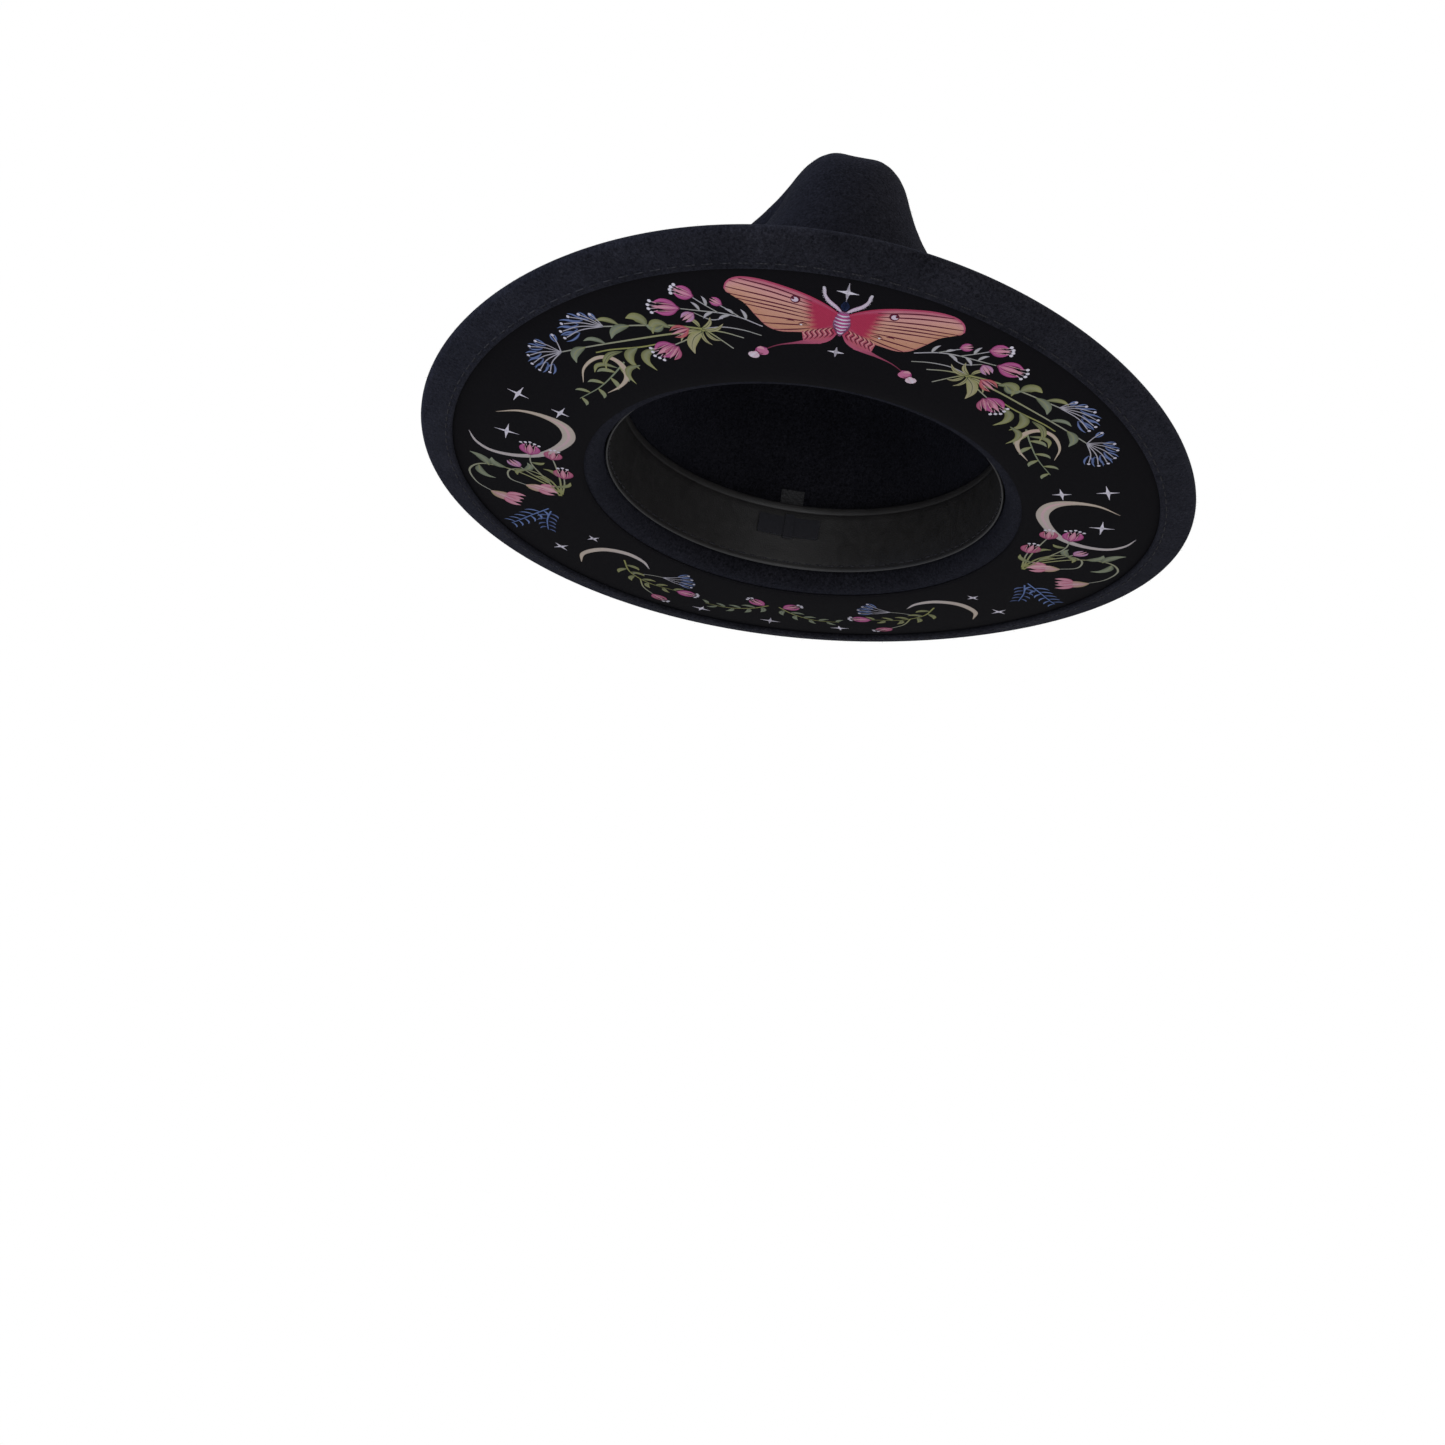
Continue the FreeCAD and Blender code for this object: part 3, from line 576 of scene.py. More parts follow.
def build_underbrim():
    turns = full_turn(CLOTH_COLUMNS)
    rings = []
    for out in np.linspace(CLOTH_START, CLOTH_EDGE, CLOTH_ROWS):
        rings.append(felt_place(brim_station(out), turns, -GLUE))
    for out in np.linspace(CLOTH_EDGE, CLOTH_START, CLOTH_ROWS):
        ripple = RIPPLE_LIFT * np.sin(turns * RIPPLES) * ease((out - CLOTH_START) / 20)
        depth = CLOTH_UNDER + ripple
        rings.append(felt_place(brim_station(out), turns, -depth))
    quads = ring_quads(len(rings), CLOTH_COLUMNS, around_rows=True)
    return make_mesh("underbrim", np.vstack(rings), quads, black_cloth())


underbrim = build_underbrim()
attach(underbrim, "root")
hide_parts("underbrim_cloth")


# ---- Print on the underbrim ---------------------------------------------------------------
# Night garden print, drawn the same on both sides of the brim: a moth at the front, then
# sprigs, buds, moons and stars. Each brush stroke is a film of ink on the cloth.
# A spot is given as (along, out): millimetres round the brim from the front, measured on the
# line 45 mm out from the opening, and millimetres out from the opening.

INK_LIFT = 0.05
INK_LAYER = 0.014
SPOT_LINE = 45.0
STROKE_STEP = 0.8
THINNEST = 0.04


def ink(code):
    """Linear colour of a six digit paint code."""
    share = np.array([int(code[i:i + 2], 16) for i in (0, 2, 4)]) / 255
    return np.where(share <= 0.04045, share / 12.92, ((share + 0.055) / 1.055) ** 2.4)


PEACH, APRICOT, CRIMSON = ink("c79482"), ink("b98468"), ink("a52f4c")
ROSE, WINE, SHELL = ink("ad5470"), ink("571a2e"), ink("cfa3a6")
LILAC, PINK, MAUVE = ink("b98cb0"), ink("b24a86"), ink("7a2c5a")
WHITE, PEARL, CREAM = ink("d2ccd6"), ink("aaa6ae"), ink("b3a28c")
OLIVE, SAGE, MOSS = ink("8b8b56"), ink("7b836c"), ink("4c523c")
STEM, SLATE, DUSK = ink("95958c"), ink("6176a6"), ink("32406a")
BLUSH, CORAL = ink("c88a9a"), ink("b05a58")

line_turns = np.linspace(0, math.pi, 721)
line_places = oval_place(SPOT_LINE, line_turns, 0.0)
line_steps = np.linalg.norm(np.diff(line_places, axis=0), axis=1)
line_lengths = np.concatenate([[0.0], np.cumsum(line_steps)])
HALF_ROUND = line_lengths[-1]

inked = {"plan": [], "lift": [], "ink": [], "faces": []}


def spot(along, out):
    """Plan place of a spot on the brim."""
    turn = np.interp(along, line_lengths, line_turns)
    return oval_place(out, turn, 0.0)[:2]


def fair(knots, count):
    """`count` values along the smooth curve through the knots."""
    knots = np.asarray(knots, float)
    knots = knots.reshape(len(knots), -1)
    padded = np.vstack([2 * knots[0] - knots[1], knots, 2 * knots[-1] - knots[-2]])
    travel = np.linspace(0, len(knots) - 1, count)
    span = np.minimum(travel.astype(int), len(knots) - 2)
    part = (travel - span)[:, None]
    a, b, c, d = (padded[span + step] for step in range(4))
    cubic = (3 * b - a - 3 * c + d) * part ** 3
    return 0.5 * (2 * b + (c - a) * part + (2 * a - 5 * b + 4 * c - d) * part ** 2 + cubic)


def lay_ink(plan, colours, faces, layer):
    """Lays a film of ink on both halves of the brim."""
    for side in (1, -1):
        start = len(inked["plan"])
        inked["plan"].extend((x * side, y) for x, y in plan)
        inked["lift"].extend([INK_LIFT + INK_LAYER * layer] * len(plan))
        inked["ink"].extend(colours)
        inked["faces"].extend([tuple(start + corner for corner in face) for face in faces])


def film_grid(rows, columns):
    faces = []
    for row in range(rows - 1):
        for column in range(columns - 1):
            first = row * columns + column
            faces.append((first, first + 1, first + columns + 1, first + columns))
    return faces


def stroke_edge(line, widths):
    """From a stroke's middle line to its edge, for each point of the line."""
    half = np.maximum(fair(widths, len(line)), THINNEST) / 2
    heading = np.gradient(line, axis=0)
    heading /= np.maximum(np.linalg.norm(heading, axis=1, keepdims=True), 1e-9)
    return np.stack([-heading[:, 1], heading[:, 0]], axis=1) * half


def brush(spots, widths, tones, layer=0, heart=None):
    """A brush stroke through spots, with its widths and its tone from end to end."""
    knots = np.array([spot(*place) for place in spots])
    length = np.linalg.norm(np.diff(knots, axis=0), axis=1).sum()
    count = int(max(4, min(60, length / STROKE_STEP))) + 1
    line = fair(knots, count)
    across = stroke_edge(line, widths)
    share = np.linspace(0, 1, count)[:, None]
    edge = mix(tones[0], tones[-1], share)
    middle = edge if heart is None else mix(edge, heart, 0.75)
    plan = np.concatenate([line + across, line, line - across])
    lay_ink(plan, np.concatenate([edge, middle, edge]), film_grid(3, count), layer)


def dab(place, radius, tone, layer=4, squash=1.0):
    """A round dab of ink."""
    middle = spot(*place)
    sides = 12
    angles = np.arange(sides) * 2 * math.pi / sides
    rim = middle + np.stack([np.cos(angles), np.sin(angles) * squash], axis=1) * radius
    faces = [(0, 1 + side, 1 + (side + 1) % sides) for side in range(sides)]
    lay_ink(np.vstack([[middle], rim]), [tone] * (sides + 1), faces, layer)


def between(first, second, share, aside=0.0):
    """A spot part of the way from one to another, and to one side."""
    along, out = second[0] - first[0], second[1] - first[1]
    return (first[0] + along * share - out * aside, first[1] + out * share + along * aside)


def leaf(base, tip, width, tones, bow=0.12, layer=1, vein=None):
    """A leaf or petal from base to tip, bowed to one side, with its midrib."""
    spots = [base, between(base, tip, 0.35, bow), between(base, tip, 0.7, bow), tip]
    shape = [0.15, 0.8, 1.0, 0.86, 0.5, 0.05]
    brush(spots, [width * part for part in shape], tones, layer, heart=mix(tones[-1], WHITE, 0.12))
    if vein is not None:
        brush(spots[:3] + [between(base, tip, 0.9, bow * 0.5)], [0.34, 0.24, 0.12], (vein, vein), layer + 1)


def sparkle(place, tall, wide, tone=WHITE):
    """A four pointed star of two thin crossed strokes."""
    along, out = place
    for aside, up in ((0.0, tall), (wide, 0.0)):
        points = [(along - aside, out - up), place, (along + aside, out + up)]
        brush(points, [0.12, 0.75, 1.7, 0.75, 0.12], (tone, tone), 3)


def crescent(spots, widths, tones):
    """A moon: one stroke, thin at both horns and paler along its middle, with an inner streak."""
    brush(spots, widths, tones, 2, heart=mix(tones[0], WHITE, 0.25))
    inner = spots[2:-2]
    brush(inner, [0.1] + [width * 0.22 for width in widths[3:-3]] + [0.1], (SHELL, tones[1]), 3)


def bud(base, tip, width, tones=(MAUVE, PINK), dots=0, layer=3):
    """A closed flower: three pointed petals in a dark cup, with pale stamens past its tip."""
    leaf(base, between(base, tip, 0.80), width * 0.74, (MAUVE, WINE), 0.0, layer)
    for aside, wide, tone in ((0.20, 0.36, tones), (-0.20, 0.36, tones), (0.0, 0.34, (tones[1], BLUSH))):
        point = between(base, tip, 1.06 - 0.3 * abs(aside), aside)
        leaf(between(base, tip, 0.06), point, width * wide, tone, aside * 0.9, layer + 1)
        ridge = [between(base, tip, 0.25, aside * 0.75), between(base, tip, 0.9, aside)]
        brush(ridge, [0.1, 0.34, 0.1], (BLUSH, SHELL), layer + 2)
    for index in range(dots):
        aside = (index - (dots - 1) / 2) * 0.18
        head = between(base, tip, 1.24 - 0.5 * abs(aside), aside)
        brush([between(base, tip, 0.85, aside * 0.6), head], [0.3, 0.22], (BLUSH, WHITE), layer + 2)
        dab(head, 0.72, WHITE, layer + 3)


def sprig(spots, leaves, length, width, tones, stem=STEM, fan=1.0):
    """A stem with leaves on alternate sides that get smaller to its tip."""
    brush(spots, [0.75, 0.6, 0.35], (stem, stem), 0)
    line = fair(spots, 61)
    for index in range(leaves):
        reach = int(8 + 50 * index / max(leaves - 1, 1))
        here, ahead = line[reach - 4], line[reach]
        heading = (ahead - here) / max(np.linalg.norm(ahead - here), 1e-9)
        side = 1 if index % 2 else -1
        size = length * (1 - 0.35 * index / leaves)
        away = np.array([-heading[1], heading[0]]) * side * fan
        tip = ahead + (heading + away) / math.hypot(1, fan) * size
        leaf(tuple(ahead), tuple(tip), width * (1 - 0.25 * index / leaves), tones, 0.14 * side, 1, tones[0])


def umbel(foot, heads):
    """Thin rays from one foot, each ending in a small blue floret with a pale dot."""
    for head in heads:
        brush([foot, between(foot, head, 0.55, 0.06), head], [0.5, 0.46, 0.4], (PEARL, PEARL), 3)
        for aside in (-0.10, 0.10):
            leaf(between(foot, head, 0.62), between(foot, head, 1.1, aside), 0.95, (DUSK, SLATE), aside, 2)
        dab(between(foot, head, 1.06), 0.68, mix(SLATE, WHITE, 0.85), 4)


def bell(neck, mouth, width):
    """A hanging bell flower with a frilled mouth."""
    leaf(neck, mouth, width, (OLIVE, BLUSH), 0.05, 3)
    for aside in (-0.42, -0.14, 0.14, 0.42):
        lip = between(neck, mouth, 1.1, aside)
        leaf(between(neck, mouth, 0.5, aside * 0.4), lip, width * 0.42, (ROSE, BLUSH), aside * 0.3, 4)
    brush([between(neck, mouth, 0.1), between(neck, mouth, 0.8, 0.1)], [0.2, 0.4, 0.1], (SHELL, WHITE), 6)


# the moth's fore wing: its front edge, then its rear edge, both from the body out to the tip
FORE_EDGE = [(2.0, 50.8), (6.5, 53.6), (11.5, 56.0), (16.5, 57.9), (22.0, 59.7), (27.4, 61.4), (32.4, 62.5),
             (36.8, 62.7), (40.2, 61.2), (41.6, 58.2)]
REAR_EDGE = [(1.6, 45.6), (6.0, 42.4), (11.6, 39.8), (17.6, 38.9), (23.6, 38.8), (28.4, 41.0), (32.2, 46.2),
             (35.2, 51.4), (38.6, 54.6), (41.3, 57.0)]
WING_SPANS, WING_ROWS = 60, 22


def fore_wing():
    """Peach panels between wine veins, crimson by the body and rose along the front edge."""
    front = fair([spot(*place) for place in FORE_EDGE], WING_SPANS)
    rear = fair([spot(*place) for place in REAR_EDGE], WING_SPANS)
    span = np.linspace(0, 1, WING_SPANS)[None, :, None]
    depth = np.linspace(0, 1, WING_ROWS)[:, None, None]
    plan = mix(front[None], rear[None], depth)
    panel = mix(PEACH, APRICOT, ease((depth - 0.35) / 0.6) * 0.8)
    panel = mix(panel, BLUSH, 0.45 * ease((0.45 - depth) / 0.35))
    ragged = 0.20 - 0.07 * depth + 0.05 * np.abs((depth * 7) % 1 - 0.5) * 2
    tone = mix(CRIMSON, panel, ease((span - ragged) / 0.10))
    border = ease((0.15 - depth) / 0.12) * 0.75 + ease((span - 0.90) / 0.10) * 0.55
    tone = mix(tone, ROSE, np.clip(border, 0, 0.9))
    hem = ease((depth - 0.93) / 0.07) * ease((0.85 - span) / 0.2) * 0.5
    tone = mix(tone, ROSE, np.clip(hem, 0, 1))
    lay_ink(plan.reshape(-1, 2), tone.reshape(-1, 3), film_grid(WING_ROWS, WING_SPANS), 2)
    margin = np.vstack([front[-14:], rear[:27:-1]])
    for index in range(9):
        start = mix(front[13], rear[13], 0.10 + 0.10 * index)
        stop = margin[int(index / 8 * (len(margin) - 2))]
        bowed = mix(start, stop, 0.5) + np.array([0.0, -1.1 + 0.16 * index])
        plan_stroke([start, bowed, stop], [0.26, 0.56, 0.66, 0.56, 0.34], (WINE, WINE), 3)
    outline = fair([spot(*place) for place in FORE_EDGE], 14)
    plan_stroke(outline, [0.5, 0.7, 0.8, 0.7, 0.5], (CRIMSON, ROSE), 4)


def plan_stroke(route, widths, tones, layer):
    """A stroke whose route is given in plan."""
    count = 28
    line = fair(route, count)
    across = stroke_edge(line, widths)
    tone = mix(tones[0], tones[-1], np.linspace(0, 1, count)[:, None])
    plan = np.concatenate([line + across, line - across])
    lay_ink(plan, np.concatenate([tone, tone]), film_grid(2, count), layer)


HIND_TOP = [(1.4, 45.4), (5.0, 43.2), (9.0, 41.2), (14.6, 39.6)]
HIND_LOW = [(1.0, 40.6), (3.2, 36.8), (7.6, 34.4), (14.0, 34.8)]


def hind_wing():
    """A small coral wing with curled veins, and a long tail that ends in a bud."""
    top = fair([spot(*place) for place in HIND_TOP], 30)
    low = fair([spot(*place) for place in HIND_LOW], 30)
    span = np.linspace(0, 1, 30)[None, :, None]
    depth = np.linspace(0, 1, 10)[:, None, None]
    tone = mix(CRIMSON, mix(ROSE, CORAL, 0.5), ease(span / 0.6))
    tone = mix(tone, ROSE, ease((depth - 0.6) / 0.4) * 0.8)
    plan = mix(top[None], low[None], depth)
    lay_ink(plan.reshape(-1, 2), tone.reshape(-1, 3), film_grid(10, 30), 2)
    for index in range(6):
        foot = 2.2 + index * 1.95
        top_edge = 43.8 - 0.62 * index
        curl = [(foot, top_edge), (foot + 1.4, top_edge - 1.6), (foot + 0.2, top_edge - 3.3),
                (foot + 1.5, top_edge - 5.4)]
        brush(curl, [0.25, 0.5, 0.5, 0.2], (WINE, WINE), 3)
        beside = [(foot + 0.9, top_edge - 0.5), (foot + 2.2, top_edge - 1.8), (foot + 1.1, top_edge - 3.4),
                  (foot + 2.0, top_edge - 4.6)]
        brush(beside, [0.15, 0.5, 0.35, 0.1], (PEACH, BLUSH), 3)
    tail = [(7.0, 35.8), (12.0, 34.6), (17.3, 33.3), (23.6, 31.8), (28.2, 30.0), (31.0, 28.4)]
    brush(tail, [3.0, 2.4, 1.1, 0.55, 0.45, 0.7], (ROSE, WINE), 2)
    leaf((29.6, 29.6), (35.0, 26.0), 4.4, (MAUVE, PINK), 0.05, 4)
    dab((31.6, 27.8), 2.3, mix(PINK, BLUSH, 0.45), 5, 0.9)
    leaf((30.8, 28.8), (34.0, 29.4), 1.6, (BLUSH, BLUSH), 0.2, 6)
    dab((36.0, 25.9), 2.2, mix(WHITE, BLUSH, 0.35), 6, 0.85)
    leaf((33.6, 27.4), (37.6, 24.8), 2.2, (BLUSH, WHITE), 0.1, 7)
    brush([(31.6, 26.6), (33.4, 26.9), (34.6, 28.6)], [0.2, 0.5, 0.2], (WINE, WINE), 8)


def moth():
    fore_wing()
    hind_wing()
    dab((17.2, 54.6), 1.9, WINE, 5)
    dab((17.4, 54.5), 1.35, mix(WHITE, PINK, 0.25), 6, 0.85)
    dab((18.1, 55.0), 0.6, WINE, 7)
    brush([(12.6, 43.4), (14.4, 43.9), (16.2, 43.3)], [0.2, 0.7, 0.2], (WINE, WINE), 5)
    dab((15.0, 42.9), 0.5, WHITE, 6, 0.7)
    brush([(17.4, 44.2), (19.0, 44.7), (20.6, 44.4)], [0.2, 0.6, 0.2], (WINE, WINE), 5)
    brush([(0.0, 51.8), (0.0, 48.6), (0.0, 45.4), (0.0, 42.4), (0.0, 39.6)], [3.0, 5.4, 6.6, 4.4, 0.6],
          (LILAC, MAUVE), 5, heart=mix(LILAC, PINK, 0.4))
    for index in range(6):
        level = 50.0 - index * 1.7
        wide = (2.2, 2.8, 3.0, 2.7, 2.0, 1.2)[index]
        brush([(0.0, level + 0.4), (wide * 0.6, level + 0.7), (wide, level + 1.2)], [0.8, 0.7, 0.3],
              (PINK, MAUVE), 6)
        brush([(0.0, level - 0.4), (wide * 0.6, level - 0.1), (wide, level + 0.4)], [0.75, 0.65, 0.3],
              (WHITE, LILAC), 6)
    feeler = [(0.8, 51.4), (3.0, 53.4), (5.8, 55.6), (7.3, 58.0), (7.7, 60.2), (8.0, 61.4)]
    brush(feeler, [0.7, 1.5, 1.6, 1.2, 1.3, 0.9], (LILAC, PEARL), 4, heart=WHITE)
    for index in range(9):
        here = fair(feeler, 19)[2 + index * 2 - index // 2]
        brush([tuple(here), (here[0] + 0.8, here[1] - 0.7)], [0.3, 0.12], (PEARL, PEARL), 5)
    brow = [(0.0, 52.2), (0.0, 54.4), (0.0, 57.0)]
    brush(brow, [0.8, 3.4, 0.3], (DUSK, DUSK * 0.4), 3, heart=DUSK * 0.25)


moth()
sparkle((0.0, 60.4), 4.1, 3.7)
sparkle((0.0, 31.2), 2.8, 3.5)

# buds beside the moth
brush([(30.0, 40.6), (38.0, 44.8), (45.0, 47.2), (52.0, 48.8), (60.0, 51.0)],
      [0.5, 0.6, 0.45], (PEARL, STEM))
brush([(38.0, 44.8), (42.0, 48.6), (45.6, 51.6)], [0.5, 0.4], (STEM, PEARL))
brush([(46.0, 47.4), (51.0, 52.2), (54.6, 56.2)], [0.5, 0.4], (STEM, PEARL))
brush([(31.0, 36.0), (38.0, 38.6), (46.0, 40.4), (54.0, 40.4)], [0.4, 0.5, 0.4], (STEM, PEARL))
brush([(45.0, 44.6), (50.0, 44.4), (55.6, 48.4)], [0.3, 0.5, 0.3], (PEARL, STEM))
for base, tip in (((36.0, 43.8), (37.4, 48.8)), ((40.4, 46.6), (43.2, 49.2)), ((50.0, 51.0), (50.6, 55.6)),
                  ((48.0, 48.0), (52.6, 45.2)), ((53.0, 49.2), (55.2, 53.4)), ((42.0, 46.0), (47.0, 44.0))):
    leaf(base, tip, 1.4, (STEM, PEARL), 0.1, 1)
bud((43.8, 51.0), (47.6, 54.0), 3.4)
bud((53.4, 55.6), (59.4, 59.6), 5.4, dots=4)
bud((60.2, 51.2), (70.0, 53.8), 6.2, dots=4)
bud((55.6, 48.4), (61.0, 45.6), 4.0, (MAUVE, LILAC))

# leafy knot, its two cut stems and the flowers that spring from it
brush([(54.0, 40.0), (49.6, 35.0), (44.5, 29.2)], [0.8, 0.6, 0.5], (OLIVE, STEM))
brush([(54.0, 40.0), (46.0, 37.6), (38.6, 34.6)], [0.8, 0.6, 0.5], (OLIVE, STEM))
brush([(54.0, 40.0), (66.0, 43.4), (80.0, 46.8), (94.7, 51.0)], [1.0, 0.8, 0.6], (OLIVE, STEM))
brush([(54.0, 39.4), (72.0, 39.8), (92.0, 41.6), (108.0, 44.6), (122.0, 48.2)],
      [1.0, 0.8, 0.6], (OLIVE, STEM))
for base, tip, wide in (((55.0, 40.0), (45.6, 42.0), 1.8), ((55.0, 40.4), (50.0, 45.6), 1.8),
                        ((55.6, 41.0), (59.8, 46.2), 1.8), ((55.0, 39.0), (63.4, 28.0), 4.4),
                        ((54.0, 39.0), (49.0, 33.6), 1.6), ((56.0, 39.4), (66.6, 35.2), 2.0),
                        ((55.4, 39.6), (53.4, 31.6), 1.5)):
    leaf(base, tip, wide, (OLIVE, mix(OLIVE, CREAM, 0.4)), 0.16, 1, MOSS)
bud((60.0, 41.2), (68.6, 39.6), 3.8, (CRIMSON, CORAL))
for base, tip, wide, tones, bow, vein in (
        ((68.0, 42.8), (76.6, 41.4), 4.2, (MOSS, OLIVE), 0.42, SAGE),
        ((70.0, 44.6), (77.4, 46.6), 3.0, (MOSS, SAGE), -0.30, OLIVE),
        ((77.0, 46.0), (83.4, 51.6), 5.0, (MOSS, OLIVE), 0.24, SAGE),
        ((84.0, 47.8), (95.6, 44.4), 3.8, (MOSS, SAGE), 0.14, OLIVE),
        ((88.0, 49.6), (96.0, 54.6), 2.6, (MOSS, OLIVE), 0.14, None),
        ((110.0, 45.2), (121.4, 40.4), 3.8, (MOSS, SAGE), 0.16, OLIVE),
        ((100.0, 43.0), (108.0, 48.2), 2.6, (MOSS, SAGE), 0.16, None)):
    leaf(base, tip, wide, tones, bow, 1, vein)
umbel((94.7, 51.0), ((112.0, 56.0), (109.0, 58.6), (104.4, 60.0), (100.0, 59.2), (96.0, 57.6),
                     (113.0, 52.8)))
umbel((122.0, 48.2), ((131.0, 57.2), (135.6, 54.6), (138.6, 51.0), (139.4, 47.0), (126.6, 57.6),
                      (137.0, 43.6), (118.0, 56.2)))
brush([(56.0, 38.6), (64.0, 35.6), (71.4, 33.8)], [0.8, 0.6, 0.5], (OLIVE, STEM))
bud((70.0, 34.2), (80.4, 31.2), 7.0, dots=5)
bud((69.0, 33.0), (76.4, 27.8), 4.6, (MAUVE, ROSE))
brush([(76.0, 36.0), (86.0, 36.4), (100.0, 39.4), (108.0, 40.8)], [0.6, 0.8, 0.6], (OLIVE, OLIVE))
leaf((88.0, 36.6), (96.0, 25.6), 4.0, (MOSS, OLIVE), 0.26, 1, SAGE)
leaf((80.0, 34.0), (88.0, 22.6), 3.6, (MOSS, OLIVE), 0.30, 1, SAGE)

# small moon over a leaf sprig
crescent([(130.4, 30.8), (121.6, 36.4), (111.6, 38.4), (104.6, 36.2), (102.6, 30.6), (106.4, 24.0),
          (115.2, 20.6), (126.6, 20.2)], [0.2, 1.0, 1.7, 2.3, 2.6, 2.2, 1.3, 0.2], (CREAM, CREAM))
leaf((96.0, 37.0), (112.0, 31.0), 2.6, (MOSS, OLIVE), 0.16, 4, MOSS)
sprig([(100.0, 31.6), (112.0, 27.4), (127.0, 24.6), (144.0, 25.2)], 7, 9.6, 2.5, (OLIVE, SAGE), SAGE)
leaf((106.0, 30.0), (119.0, 32.4), 2.4, (MOSS, OLIVE), 0.24, 3, SAGE)
leaf((94.0, 27.6), (106.0, 18.6), 2.8, (MOSS, OLIVE), 0.26, 3, SAGE)

# stars and the large moon
sparkle((165.0, 46.2), 5.0, 6.6)
sparkle((165.6, 26.4), 4.2, 6.2)
sparkle((201.0, 43.4), 5.6, 7.2)
crescent([(186.6, 50.4), (178.4, 41.4), (175.2, 31.0), (178.0, 21.6), (189.6, 17.0), (204.6, 19.8),
          (217.6, 27.6), (223.6, 38.4), (223.6, 49.4), (218.4, 56.4), (210.8, 59.8)],
         [0.2, 1.6, 3.4, 5.6, 5.4, 4.4, 3.6, 3.0, 2.4, 1.5, 0.2], (CREAM, PEARL))

# flowers that grow over the large moon
for spots in ([(265.0, 23.6), (248.0, 26.0), (230.0, 31.6), (218.0, 31.8)],
              [(265.0, 23.0), (246.0, 20.0), (228.0, 20.6), (219.0, 22.0)],
              [(263.0, 22.0), (250.0, 18.6), (242.0, 17.8)], [(250.0, 26.0), (240.0, 34.0), (232.0, 39.6)]):
    brush(spots, [0.9, 0.7, 0.5], (OLIVE, STEM), 4)
bud((220.0, 32.0), (208.6, 32.4), 7.4, dots=5, layer=5)
bud((221.0, 22.2), (210.8, 21.4), 6.4, (MAUVE, ROSE), dots=3, layer=5)
bud((243.0, 17.8), (231.6, 17.6), 6.6, (MAUVE, ROSE), dots=3, layer=5)
bud((236.0, 37.4), (229.6, 41.6), 4.6, (MAUVE, LILAC), layer=5)
for base, tip in (((250.0, 25.6), (243.0, 31.0)), ((240.0, 21.0), (233.6, 26.6)),
                  ((254.0, 24.4), (246.6, 15.4)), ((228.0, 31.6), (226.0, 25.6)),
                  ((238.0, 34.8), (244.6, 39.6))):
    leaf(base, tip, 2.6, (MOSS, OLIVE), 0.2, 5, SAGE)

# bell flowers on looped stems
brush([(262.0, 22.0), (249.0, 30.0), (239.6, 42.0), (238.6, 55.0), (247.0, 62.6), (258.0, 62.0),
       (265.4, 56.4)], [1.1, 0.9, 0.9, 0.8, 0.6], (OLIVE, STEM), 1)
brush([(262.0, 22.0), (246.0, 25.0), (238.0, 33.4), (240.4, 42.6), (249.6, 44.0), (255.4, 37.0)],
      [1.0, 0.8, 0.8, 0.6], (OLIVE, STEM), 1)
for base, tip, wide, bow in (
        ((239.0, 52.0), (229.6, 60.0), 4.8, 0.16),
        ((238.8, 44.0), (230.6, 50.0), 4.2, -0.2),
        ((240.6, 57.0), (251.0, 51.0), 4.2, 0.24),
        ((238.4, 36.0), (229.6, 33.6), 3.4, 0.2)):
    leaf(base, tip, wide, (MOSS, SAGE), bow, 2, OLIVE)
bell((265.0, 57.0), (272.0, 45.0), 8.6)
bell((255.0, 37.6), (259.0, 25.6), 7.6)
leaf((262.0, 24.0), (254.0, 34.0), 3.0, (BLUSH, SHELL), 0.1, 5)

# blue fern
sprig([(281.0, 34.0), (286.6, 43.0), (292.0, 52.0), (297.0, 61.0)], 11, 7.6, 1.2,
      (SLATE, SLATE), SLATE, 1.2)
sprig([(284.0, 34.0), (293.6, 40.0), (304.0, 45.0)], 9, 6.6, 1.2, (DUSK, SLATE), SLATE, 1.2)

# towards the back: one more moon, stars, and sprigs that meet behind the crown
sparkle((322.0, 50.0), 4.4, 4.4)
sparkle((318.0, 28.0), 3.4, 3.8)
crescent([(339.0, 52.6), (331.6, 44.0), (331.0, 31.6), (339.6, 23.4), (352.0, 22.6), (361.0, 27.0)],
         [0.2, 2.4, 3.9, 3.7, 2.0, 0.2], (CREAM, PEARL))
sprig([(346.0, 30.0), (358.0, 38.6), (372.0, 42.0), (386.0, 40.0)], 9, 8.4, 2.8, (MOSS, OLIVE), OLIVE)
bud((386.0, 40.0), (395.0, 38.4), 6.2, dots=4)
brush([(366.0, 41.0), (373.0, 49.0), (381.0, 54.0)], [0.7, 0.5], (OLIVE, STEM))
bud((380.0, 53.4), (387.6, 57.2), 4.6, (MAUVE, ROSE), dots=3)
umbel((372.0, 30.0), ((384.0, 21.6), (387.6, 25.6), (388.4, 30.0), (380.0, 18.6)))
brush([(360.0, 38.8), (366.0, 33.0), (372.0, 30.0)], [0.6, 0.5], (STEM, STEM))
sparkle((404.0, 54.0), 4.0, 4.2)
sprig([(432.0, 30.0), (424.0, 38.0), (414.0, 43.6), (403.0, 44.6)], 8, 7.6, 2.6, (MOSS, SAGE), OLIVE)
sparkle((HALF_ROUND, 52.0), 5.2, 4.6)
bud((430.0, 31.0), (422.0, 25.6), 5.0, dots=3)


